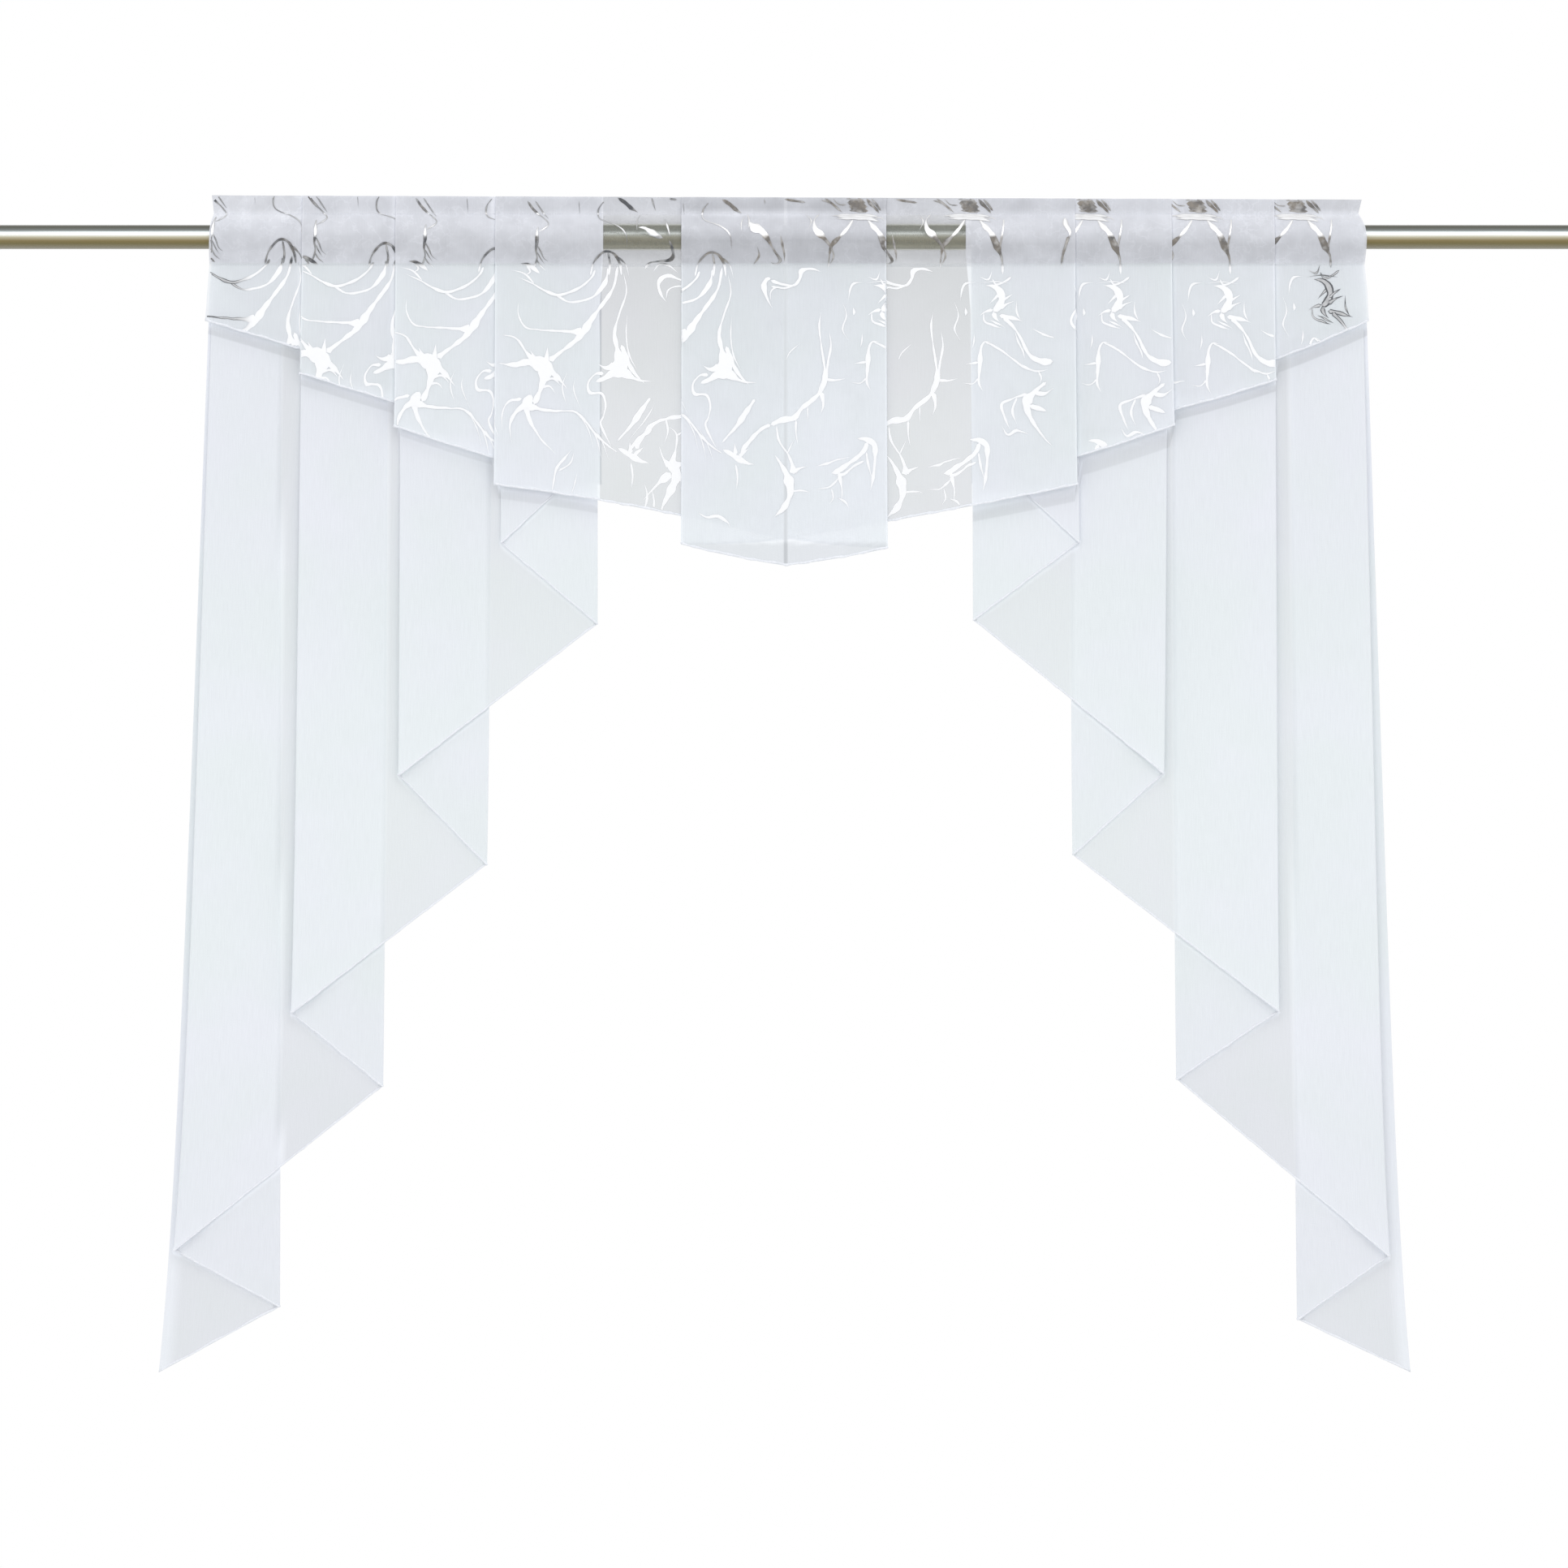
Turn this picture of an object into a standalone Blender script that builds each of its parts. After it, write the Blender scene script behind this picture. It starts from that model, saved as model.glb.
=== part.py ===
"""Pleated cafe curtain on a rod.

A valance of patterned voile lies in knife pleats that face a box pleat at the middle. Behind it hangs a
plain voile cascade at each side, folded to and fro so that its slanting hem falls in zigzag steps.
The rod runs through the valance's pocket. X runs along the rod, -Y is the front and +Z is up, and the
origin is on the rod's axis at the curtain's middle.
"""

from collections import namedtuple

import bmesh
import bpy
import numpy as np
from mathutils import Matrix

MM = 0.001

# Rod
ROD_DIAMETER = 25 * MM
ROD_LENGTH = 1700 * MM
ROD_SIDES = 32
ROD_CHAMFER = 1.5 * MM

# Cloth
SHEET = 1.0 * MM  # thickness of a layer
PITCH_TOP = 1.6 * MM  # from layer to layer at the heading
CASCADE_PITCH_HEM = 3.0 * MM  # the cascades' layers stand further apart at their lowest tips
CASCADE_LENGTH = 1184 * MM
CLEARANCE = 0.8 * MM  # between the cascades and the valance
TURN_STEPS = 3  # straight pieces round each fold

# A pleat's front covers its own return and the cloth before it, so the cloth it covers lies this many
# layers behind it. Every pleat's front also sinks that far before the next pleat covers it.
TIERS = 2
DEEPEST_TIER = 2 * TIERS

# Heading, as heights over the rod's axis
FRILL_TOP_LEFT = 43 * MM
FRILL_TOP_RIGHT = 38.5 * MM
UPPER_SEAM = 23.5 * MM
LOWER_SEAM = -29.5 * MM
POCKET_BULGE = 14.6 * MM  # how far the cloth behind all others stands out in front of the rod's axis
POCKET_STEPS = 10
CASCADE_TOP = 18 * MM

# Turned-back wall of the pocket, behind the rod
WALL_GAP = 0.8 * MM  # to the rod
WALL_ARC = 75  # degrees of the rod that it follows, up and down from straight behind
WALL_STEPS = 8
WALL_FOOT = 1.5 * MM  # how far behind the rod's axis it ends
SEAM_HEIGHT = 1.6 * MM  # of the stitched lines that join it to the pleats
SEAM_TIER = 1.0  # the layer that they reach
LOWER_SEAM_HALF = 185 * MM  # between the cascades, from the middle to each side

# An outer edge leans out evenly, and the last part of its length flares on top of that
LEAN_POWER = 1.15
FLARE_SHARE, FLARE_POWER = 0.18, 8

# Rows of each cloth below the pocket, as shares of the way to the hem
VALANCE_SHARES = (0.4, 1.0)
CASCADE_SHARES = (0.25, 0.5, 0.72, 0.88, 1.0)

# A line that the cloth turns or ends on: its distance from the curtain's middle at the heading and at the
# hem, and how far the hem is below the rod's axis there, in millimetres
Line = namedtuple("Line", "top hem drop")

# A pleat's front fold shows, and its inner fold lies hidden behind the next pleat
Pleat = namedtuple("Pleat", "front inner")

# One side of a cloth, from its outer edge, which lies in edge_tier, to the middle
Side = namedtuple("Side", "edge edge_tier pleats end")

VALANCE_LEFT = Side(
    edge=Line(top=600.0, hem=605.0, drop=88),
    edge_tier=0,
    pleats=(
        Pleat(front=Line(503.6, 506.6, 143), inner=Line(409.5, 410.5, 148)),
        Pleat(front=Line(406.4, 408.1, 198), inner=Line(307.0, 308.5, 200)),
        Pleat(front=Line(302.5, 304.2, 259), inner=Line(191.8, 191.8, 258)),
        Pleat(front=Line(108.6, 109.0, 321), inner=Line(1.7, 1.7, 316)),
    ),
    end=Line(top=0.0, hem=0.0, drop=343),
)
VALANCE_RIGHT = Side(
    edge=Line(top=605.0, hem=607.6, drop=88),
    edge_tier=0,
    pleats=(
        Pleat(front=Line(509.3, 511.2, 150), inner=Line(408.5, 409.5, 158)),
        Pleat(front=Line(402.2, 405.4, 197), inner=Line(306.5, 308.0, 199)),
        Pleat(front=Line(301.7, 304.2, 259), inner=Line(193.5, 193.5, 257)),
        Pleat(front=Line(104.8, 106.5, 325), inner=Line(1.7, 1.7, 315)),
    ),
    end=VALANCE_LEFT.end,
)
CASCADE_LEFT = Side(
    edge=Line(top=598.3, hem=653.6, drop=1184),
    edge_tier=TIERS,
    pleats=(
        Pleat(front=Line(595.8, 638.0, 1057), inner=Line(525.6, 527.3, 1116)),
        Pleat(front=Line(503.6, 515.9, 810), inner=Line(414.1, 419.5, 886)),
        Pleat(front=Line(401.4, 403.9, 562), inner=Line(305.0, 311.4, 655)),
        Pleat(front=Line(295.8, 297.4, 320), inner=Line(196.0, 196.0, 404)),
    ),
    end=Line(top=198.0, hem=198.0, drop=228),
)
CASCADE_RIGHT = Side(
    edge=Line(top=603.0, hem=651.7, drop=1184),
    edge_tier=TIERS,
    pleats=(
        Pleat(front=Line(600.5, 629.7, 1063), inner=Line(526.4, 533.1, 1129)),
        Pleat(front=Line(510.4, 514.4, 808), inner=Line(402.2, 407.3, 879)),
        Pleat(front=Line(398.8, 394.8, 560), inner=Line(295.8, 299.0, 645)),
        Pleat(front=Line(305.0, 306.6, 319), inner=Line(194.5, 195.4, 400)),
    ),
    end=Line(top=196.5, hem=196.5, drop=219),
)

# One upright line of a cloth's mesh. round is 0 on a flat layer. In a fold it is 1 or -1, the way from the
# fold's edge into its loop, and swing goes from 0 to 1 at the edge and back.
Column = namedtuple("Column", "line round swing tier drop")


def clear_scene():
    for thing in list(bpy.data.objects):
        bpy.data.objects.remove(thing, do_unlink=True)


def material(name, colour, roughness, metallic=0.0):
    made = bpy.data.materials.new(name)
    made.use_nodes = True
    shader = made.node_tree.nodes["Principled BSDF"]
    shader.inputs["Base Color"].default_value = (*colour, 1.0)
    shader.inputs["Roughness"].default_value = roughness
    shader.inputs["Metallic"].default_value = metallic
    made.diffuse_color = (*colour, 1.0)
    return made


def add_object(name, mesh, surface):
    made = bpy.data.objects.new(name, mesh)
    mesh.materials.append(surface)
    bpy.context.collection.objects.link(made)
    return made


def bulge(height):
    """How far the rod pushes the cloth forward: half a wave between the pocket's two seams."""
    middle = (UPPER_SEAM + LOWER_SEAM) / 2
    reach = (UPPER_SEAM - LOWER_SEAM) / 2
    share = np.clip((height - middle) / reach, -1.0, 1.0)
    return POCKET_BULGE * np.cos(share * np.pi / 2)


def cascade_pitch(height):
    """Layer spacing of the cascades, which grows evenly down to their tips."""
    share = np.clip(-height / CASCADE_LENGTH, 0.0, 1.0)
    return PITCH_TOP + (CASCADE_PITCH_HEM - PITCH_TOP) * share


def valance_pitch(height):
    return np.full_like(height, PITCH_TOP)


def cascade_back(height):
    """Y of the cascades' rearmost layer."""
    return -SHEET / 2 - bulge(height)


def valance_back(height):
    """Y of the valance's rearmost layer, just in front of the cascades."""
    return cascade_back(height) - DEEPEST_TIER * cascade_pitch(height) - SHEET - CLEARANCE


def line_x(top, hem, drop, height):
    """Distance of a line from the middle: it leans evenly and flares near its hem."""
    share = np.clip(-height / drop, 0.0, None)
    flare = FLARE_SHARE * np.minimum(share, 1.0) ** FLARE_POWER
    return top + (hem - top) * ((1 - FLARE_SHARE) * share**LEAN_POWER + flare)


def fold_columns(line, tier_in, tier_out, into_loop):
    """Columns round one fold, from the layer that arrives to the one that leaves."""
    angles = np.linspace(0, np.pi, TURN_STEPS + 1)
    shares = (1 - np.cos(angles)) / 2
    tiers = tier_in + (tier_out - tier_in) * shares
    return [
        Column(line, into_loop, swing, tier, line.drop)
        for swing, tier in zip(np.sin(angles), tiers)
    ]


def sunk(line, near, far):
    """How many tiers a pleat's front has sunk at a line between its own fold and the next one."""
    return TIERS * np.clip((near.top - line.top) / (near.top - far.top), 0.0, 1.0)


def crossing_drop(start, end, line):
    """The hem's drop where a layer that runs from start to end passes under a line."""
    share = (start.hem - line.hem) / (start.hem - end.hem)
    return start.drop + share * (end.drop - start.drop)


def side_columns(side, box_pleat):
    """All columns of one side of a cloth, from its outer edge inwards. A box pleat's front stays flat."""
    next_fronts = [pleat.front for pleat in side.pleats[1:]] + [side.end]
    columns = [Column(side.edge, 0, 0.0, side.edge_tier, side.edge.drop)]
    start = side.edge
    for pleat, next_front in zip(side.pleats, next_fronts):
        is_flat = box_pleat and next_front is side.end
        depth = 0.0 if is_flat else sunk(pleat.inner, pleat.front, next_front)
        under = crossing_drop(start, pleat.inner, pleat.front)
        columns.append(Column(pleat.front, 0, 0.0, TIERS, under))
        columns += fold_columns(pleat.inner, TIERS + depth, 1 + depth, into_loop=1)
        columns += fold_columns(pleat.front, 1, 0, into_loop=-1)
        start = pleat.front
    columns.append(Column(side.end, 0, 0.0, 0 if box_pleat else TIERS, side.end.drop))
    return columns


def row_heights(tops, drops, shares):
    """Heights of the grid: the top edge, level rows round the pocket, then shares of the way to the hem."""
    middle = (UPPER_SEAM + LOWER_SEAM) / 2
    reach = (UPPER_SEAM - LOWER_SEAM) / 2
    level = middle + reach * np.cos(np.linspace(0, np.pi, POCKET_STEPS + 1))
    level = level[level < tops.min() - SEAM_HEIGHT]
    below = [LOWER_SEAM + share * (-drops - LOWER_SEAM) for share in shares]
    return np.stack([tops, *(np.full_like(drops, height) for height in level), *below])


def cloth_grid(columns, way, tops, shares, back, pitch):
    """X, Y and Z of the middle surface of one side of a cloth. way is -1 on the left and 1 on the right."""
    lines = np.array([column.line for column in columns]) * MM
    rounds, swings, tiers, drops = np.array([column[1:] for column in columns]).T
    z = row_heights(tops, drops * MM, shares)
    width = pitch(z)
    off_edge = rounds * (SHEET + width * (1 - swings)) / 2
    x = line_x(lines[:, 0], lines[:, 1], lines[:, 2], z) + off_edge
    y = back(z) - (DEEPEST_TIER - tiers) * width
    return np.stack([way * x, y, z], axis=-1)


def closed_sheet(name, middle, normal):
    """A closed mesh with half the sheet's thickness to each side of a grid of points."""
    rows, count = middle.shape[:2]
    points = np.concatenate([middle + normal * SHEET / 2, middle - normal * SHEET / 2]).reshape(-1, 3)
    cell = np.arange(rows * count).reshape(rows, count)
    front = np.stack([cell[1:, :-1], cell[1:, 1:], cell[:-1, 1:], cell[:-1, :-1]], axis=-1).reshape(-1, 4)
    rim = np.concatenate([cell[0, :-1], cell[:-1, -1], cell[-1, :0:-1], cell[:0:-1, 0]])
    following = np.roll(rim, -1)
    other = rows * count
    edge = np.stack([rim, following, following + other, rim + other], axis=-1)
    faces = np.concatenate([front, front[:, ::-1] + other, edge])
    mesh = bpy.data.meshes.new(name)
    mesh.from_pydata(points.tolist(), [], faces.tolist())
    tidy_mesh(mesh)
    return mesh


def tidy_mesh(mesh):
    """Triangles, with every face pointing out."""
    work = bmesh.new()
    work.from_mesh(mesh)
    bmesh.ops.triangulate(work, faces=work.faces)
    bmesh.ops.recalc_face_normals(work, faces=work.faces)
    work.to_mesh(mesh)
    work.free()


def pleated_sheet(name, grid):
    """A sheet through the grid's points. Its thickness is level, square to the cloth seen from above."""
    along = np.gradient(grid[..., :2], axis=1)
    along /= np.linalg.norm(along, axis=-1, keepdims=True)
    normal = np.stack([-along[..., 1], along[..., 0], np.zeros(along.shape[:2])], axis=-1)
    return closed_sheet(name, grid, normal)


def frill_top(x):
    """Height of the frill's upper edge, which falls evenly from left to right."""
    width = (VALANCE_LEFT.edge.top + VALANCE_RIGHT.edge.top) * MM
    share = (x + VALANCE_LEFT.edge.top * MM) / width
    return FRILL_TOP_LEFT + (FRILL_TOP_RIGHT - FRILL_TOP_LEFT) * share


def valance_pleats():
    halves = []
    for side, way in ((VALANCE_LEFT, -1), (VALANCE_RIGHT, 1)):
        columns = side_columns(side, box_pleat=True)
        tops = frill_top(np.array([way * column.line.top * MM for column in columns]))
        halves.append(cloth_grid(columns, way, tops, VALANCE_SHARES, valance_back, valance_pitch))
    left, right = halves
    return pleated_sheet("valance", np.concatenate([left, right[:, -2::-1]], axis=1))


def cascade(name, side, way):
    columns = side_columns(side, box_pleat=False)
    tops = np.full(len(columns), CASCADE_TOP)
    return pleated_sheet(name, cloth_grid(columns, way, tops, CASCADE_SHARES, cascade_back, cascade_pitch))


def wall_profile(top):
    """Y and Z of the turned-back wall, from the frill's edge down behind the rod to the lower seam."""
    heading = valance_back(np.array(UPPER_SEAM)) + SHEET + CLEARANCE / 2
    radius = ROD_DIAMETER / 2 + WALL_GAP + SHEET / 2
    angles = np.radians(np.linspace(WALL_ARC, -WALL_ARC, WALL_STEPS + 1))
    arc = np.stack([np.cos(angles), np.sin(angles)], axis=-1) * radius
    head = [(heading, top), (heading, UPPER_SEAM)]
    foot = [(WALL_FOOT, LOWER_SEAM - SEAM_HEIGHT)]
    return np.concatenate([head, arc, foot])


def pocket_wall():
    ends = np.array([-VALANCE_LEFT.edge.top, VALANCE_RIGHT.edge.top]) * MM
    profiles = np.stack([wall_profile(height) for height in frill_top(ends) - SEAM_HEIGHT], axis=1)
    along = np.gradient(profiles, axis=0)
    along /= np.linalg.norm(along, axis=-1, keepdims=True)
    flat = np.zeros(profiles.shape[:2])
    middle = np.stack([flat + ends, profiles[..., 0], profiles[..., 1]], axis=-1)
    normal = np.stack([flat, -along[..., 1], along[..., 0]], axis=-1)
    return closed_sheet("pocket_wall", middle, normal)


def seam(name, left, right, back, height):
    """A bar that stands for a stitched line, from the pleats' outer layers to the pocket's wall."""
    front = valance_back(np.array(height)) - (DEEPEST_TIER - SEAM_TIER) * PITCH_TOP
    work = bmesh.new()
    bmesh.ops.create_cube(work, size=1.0)
    bmesh.ops.scale(work, verts=work.verts, vec=(right - left, back - front, SEAM_HEIGHT))
    bmesh.ops.translate(work, verts=work.verts, vec=((left + right) / 2, (front + back) / 2, height))
    mesh = bpy.data.meshes.new(name)
    work.to_mesh(mesh)
    work.free()
    return mesh


def seams():
    inset = SEAM_HEIGHT
    left, right = -VALANCE_LEFT.edge.top * MM + inset, VALANCE_RIGHT.edge.top * MM - inset
    heading = valance_back(np.array(UPPER_SEAM)) + SHEET + CLEARANCE / 2
    return (
        seam("upper_seam", left, right, heading, UPPER_SEAM),
        seam("lower_seam", -LOWER_SEAM_HALF, LOWER_SEAM_HALF, WALL_FOOT, LOWER_SEAM),
    )


def join(target, mesh, surface):
    """Unite another closed mesh with the target, through a guide that isn't part of the curtain."""
    guide = add_object(mesh.name, mesh, surface)
    guide.hide_render = True
    guide.display_type = "WIRE"
    union = target.modifiers.new(mesh.name, "BOOLEAN")
    union.operation = "UNION"
    union.solver = "EXACT"
    union.object = guide


def rod_mesh():
    work = bmesh.new()
    radius = ROD_DIAMETER / 2
    bmesh.ops.create_cone(
        work, cap_ends=True, segments=ROD_SIDES, radius1=radius, radius2=radius, depth=ROD_LENGTH
    )
    bmesh.ops.rotate(work, verts=work.verts, matrix=Matrix.Rotation(np.pi / 2, 3, "Y"))
    rims = [edge for edge in work.edges if abs(edge.verts[0].co.x - edge.verts[1].co.x) < ROD_CHAMFER]
    bmesh.ops.bevel(work, geom=rims, offset=ROD_CHAMFER, segments=1, affect="EDGES")
    mesh = bpy.data.meshes.new("rod")
    work.to_mesh(mesh)
    work.free()
    mesh.shade_smooth()
    mesh.set_sharp_from_angle(angle=np.radians(30))
    return mesh


def main():
    clear_scene()
    patterned = material("marble_voile", (0.86, 0.87, 0.89), 0.55)
    plain = material("voile", (0.92, 0.94, 0.96), 0.8)
    steel = material("rod_steel", (0.56, 0.53, 0.46), 0.3, metallic=1.0)
    add_object("rod", rod_mesh(), steel)
    valance = add_object("valance", valance_pleats(), patterned)
    for mesh in (pocket_wall(), *seams()):
        join(valance, mesh, patterned)
    add_object("cascade_left", cascade("cascade_left", CASCADE_LEFT, -1), plain)
    add_object("cascade_right", cascade("cascade_right", CASCADE_RIGHT, 1), plain)


main()
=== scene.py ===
import math

import bpy
import numpy as np
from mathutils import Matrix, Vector


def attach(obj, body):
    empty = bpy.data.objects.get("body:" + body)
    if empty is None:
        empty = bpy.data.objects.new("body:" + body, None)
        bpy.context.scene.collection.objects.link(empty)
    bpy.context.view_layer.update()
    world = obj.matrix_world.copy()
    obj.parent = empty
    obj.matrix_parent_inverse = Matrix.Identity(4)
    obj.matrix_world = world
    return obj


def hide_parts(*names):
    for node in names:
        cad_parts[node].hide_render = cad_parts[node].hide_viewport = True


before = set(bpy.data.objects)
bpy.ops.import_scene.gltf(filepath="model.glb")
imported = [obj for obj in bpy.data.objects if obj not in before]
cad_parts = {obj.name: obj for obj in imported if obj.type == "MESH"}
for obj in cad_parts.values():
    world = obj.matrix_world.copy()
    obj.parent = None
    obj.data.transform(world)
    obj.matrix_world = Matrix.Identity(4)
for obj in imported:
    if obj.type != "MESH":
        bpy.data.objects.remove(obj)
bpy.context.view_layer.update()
mm = 0.001


# small helpers for shapes

def smooth(share):
    # eased step: 3 t^2 - 2 t^3 between 0 and 1
    share = np.clip(share, 0.0, 1.0)
    return share * share * (3 - 2 * share)


def fadeFrom(distance, reach):
    # bell that is 1 at no distance and has gone by about two reaches
    return np.exp(-((distance / reach) ** 2))


def towards(now, goal, share):
    # a value that has moved by a share of the way to its goal
    return now + (goal - now) * share


def waves(along, parts, base=0.0):
    # a base and sine waves on it. Each part is a size, a length and a start, and then how much and over what
    # length its pace wanders
    for size, length, start, wander, wanderLength in parts:
        base = base + size * np.sin(along / length + wander * np.sin(along / wanderLength) + start)
    return base


def gridFaces(rows, columns, wrapRows=False):
    # quads of a grid whose points are numbered row by row
    cell = np.arange(rows * columns).reshape(rows, columns)
    if wrapRows:
        cell = np.concatenate([cell, cell[:1]], axis=0)
    corners = [cell[1:, :-1], cell[1:, 1:], cell[:-1, 1:], cell[:-1, :-1]]
    return np.stack(corners, axis=-1).reshape(-1, 4)


def makePiece(name, points, faces, finish, uvs=None, values=None):
    # a mesh object at the origin that rides on the curtain's body. uvs are its named maps, and values its
    # named numbers, one for each point
    mesh = bpy.data.meshes.new(name)
    faceList = faces if isinstance(faces, list) else faces.tolist()
    mesh.from_pydata(points.reshape(-1, 3).tolist(), [], faceList)
    loops = np.empty(len(mesh.loops), np.int32)
    mesh.loops.foreach_get("vertex_index", loops)
    for mapName, flat in (uvs or {}).items():
        layer = mesh.uv_layers.new(name=mapName)
        layer.uv.foreach_set("vector", flat.reshape(-1, 2)[loops].astype(np.float32).ravel())
    for valueName, numbers in (values or {}).items():
        attribute = mesh.attributes.new(valueName, "FLOAT", "POINT")
        attribute.data.foreach_set("value", numbers.astype(np.float32).ravel())
    mesh.materials.append(finish)
    mesh.shade_smooth()
    piece = bpy.data.objects.new(name, mesh)
    bpy.context.scene.collection.objects.link(piece)
    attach(piece, "root")
    return piece


# shader maths as Python expressions

class Wire:
    # a socket of a node tree, or a number; the operators add Math nodes
    def __init__(self, tree, socket):
        self.tree = tree
        self.socket = socket

    def math(self, operation, *others):
        inputs = dict(enumerate((self, *others)))
        return addNode(self.tree, "ShaderNodeMath", {"operation": operation}, inputs)[0]

    def __add__(self, other):
        return self.math("ADD", other)

    def __sub__(self, other):
        return self.math("SUBTRACT", other)

    def __mul__(self, other):
        return self.math("MULTIPLY", other)

    def __rsub__(self, other):
        return addNode(self.tree, "ShaderNodeMath", {"operation": "SUBTRACT"}, {0: other, 1: self})[0]

    __radd__ = __add__
    __rmul__ = __mul__


def addNode(tree, kind, settings=None, inputs=None):
    # any node: its settings first, a ramp's stops among them, then its sockets' links or values
    node = tree.nodes.new(kind)
    for key, value in (settings or {}).items():
        if key == "stops":
            ramp = node.color_ramp
            while len(ramp.elements) < len(value):
                ramp.elements.new(0.5)
            for element, (place, colour) in zip(ramp.elements, value):
                element.position = place
                element.color = (*colour, 1.0)
        else:
            setattr(node, key, value)
    for key, value in (inputs or {}).items():
        if isinstance(value, Wire):
            tree.links.new(value.socket, node.inputs[key])
        else:
            node.inputs[key].default_value = value
    return [Wire(tree, socket) for socket in node.outputs]


class Finish:
    # a material: its tree, and the sockets of its Principled shader
    def __init__(self, name, **constants):
        self.material = bpy.data.materials.new(name)
        self.material.use_nodes = True
        self.tree = self.material.node_tree
        self.shader = self.tree.nodes["Principled BSDF"]
        for socket, value in constants.items():
            self.shader.inputs[socket.replace("_", " ")].default_value = value

    def node(self, kind, settings=None, inputs=None):
        return addNode(self.tree, kind, settings, inputs)

    def attribute(self, name):
        return self.node("ShaderNodeAttribute", {"attribute_name": name})[2]

    def place(self):
        return self.node("ShaderNodeTexCoord")[3]

    def uvMap(self, name):
        return self.node("ShaderNodeUVMap", {"uv_map": name})[0]

    def noise(self, vector, scale, detail=2.0):
        # scale is in waves to a metre: one number, or three for X, Y and Z where the pattern is stretched
        if isinstance(scale, tuple):
            vector = self.node("ShaderNodeMapping", None, {"Vector": vector, "Scale": scale})[0]
            scale = 1.0
        sizes = {"Vector": vector, "Scale": scale, "Detail": detail}
        return self.node("ShaderNodeTexNoise", {"noise_dimensions": "3D"}, sizes)[0]

    def mixColour(self, share, first, second):
        sides = {
            0: share,
            6: first if isinstance(first, Wire) else (*first, 1.0),
            7: second if isinstance(second, Wire) else (*second, 1.0),
        }
        return self.node("ShaderNodeMix", {"data_type": "RGBA", "clamp_factor": True}, sides)[2]

    def eased(self, value, begin, end):
        # eased step from 0 at the beginning to 1 at the end
        sides = {0: value, 1: begin, 2: end}
        return self.node("ShaderNodeMapRange", {"interpolation_type": "SMOOTHSTEP"}, sides)[0]

    def bell(self, distance, reach, power=2):
        # e to the power of -(distance / reach)^power, and 1 for distances below zero
        far = (distance.math("MAXIMUM", 0.0) * (1 / reach)).math("POWER", power)
        return (far * -1.0).math("EXPONENT")

    def ramp(self, value, stops):
        return self.node("ShaderNodeValToRGB", {"stops": stops}, {0: value})[0]

    def bump(self, height, distance, strength=1.0):
        sizes = {"Height": height, "Distance": distance, "Strength": strength}
        self.wire("Normal", self.node("ShaderNodeBump", None, sizes)[0])

    def wire(self, socket, value):
        self.tree.links.new(value.socket, self.shader.inputs[socket])


# camera first: straight on, as the photograph's long lens

cameraSettings = {
    "aim": (-1.7 * mm, -20 * mm, -570.4 * mm),
    "distance": 14.0,
    "frameWidth": 1.633,  # what the square frame takes in at the curtain
    "sensor": 36.0,
}


def makeCamera():
    # the lens is the sensor's width times the distance over the width that it takes in
    data = bpy.data.cameras.new("camera")
    data.sensor_width = cameraSettings["sensor"]
    data.lens = cameraSettings["sensor"] * cameraSettings["distance"] / cameraSettings["frameWidth"]
    camera = bpy.data.objects.new("camera", data)
    bpy.context.scene.collection.objects.link(camera)
    x, y, z = cameraSettings["aim"]
    camera.location = (x, y - cameraSettings["distance"], z)
    camera.rotation_euler = (math.radians(90), 0.0, 0.0)
    bpy.context.scene.camera = camera


makeCamera()
print("camera made")


# The heading, in millimetres over the rod's axis. The pocket bulges between its two seams.

heading = {
    "frillLeft": 43.0,
    "frillRight": 38.5,
    "upperSeam": 23.5,
    "lowerSeam": -29.5,
    "rodRadius": 12.5,
    "bulge": 14.6,
    "cascadeTop": 18.0,
    "pitch": 1.6,  # from layer to layer
    "pitchAtTips": 3.0,
    "cascadeLength": 1184.0,
    "backOffset": 0.5,
    "valanceOffset": 1.8,  # the valance's rear layer in front of the cascades' front one
    "tiers": 2,
    "flareShare": 0.18,  # how much of a fold line's lean comes as a flare near its hem
    "flarePower": 8,
    "backPuff": 0.35,  # how much of a fold's puff the layer behind it has
    "rowPower": 1.15,  # over 1, so the rows stand closer towards the hem
    # how far the ends draw in beside the seams, by height
    "drawHeights": [-60, -29.5, -14, 0, 10, 18, 23.5, 32, 45],
    "drawLeft": [0, 1.0, 0.3, 0, 0.6, 2.4, 4.3, 3.6, 2.0],
    "drawRight": [0, 2.6, 0.8, 0, 1.5, 5.0, 8.4, 6.4, 3.2],
    "drawReach": 40.0,
}

# Small shared unevenness, in millimetres: every layer moves by the same amount, so that none meet.
unevenness = {
    "pucker": 0.45,  # at the seams
    "puckerReach": 9.0,
    "puckerWaves": [(1.0, 2.1, 0.0, 1.3, 31.0), (0.6, 1.37, 2.0, 0.0, 1.0), (0.5, 5.3, 0.0, 0.0, 1.0)],
    "frill": 1.3,
    "frillReach": 19.0,
    "frillWaves": [(1.0, 13.0, 0.0, 1.0, 57.0), (0.5, 6.1, 1.0, 0.0, 1.0)],
    "hang": 3.2,  # at the tips
    "hangWaves": [(1.0, 37.0, 300.0, 0.0), (0.7, 23.0, -410.0, 2.0)],  # size, lengths across and down, start
}

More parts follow.
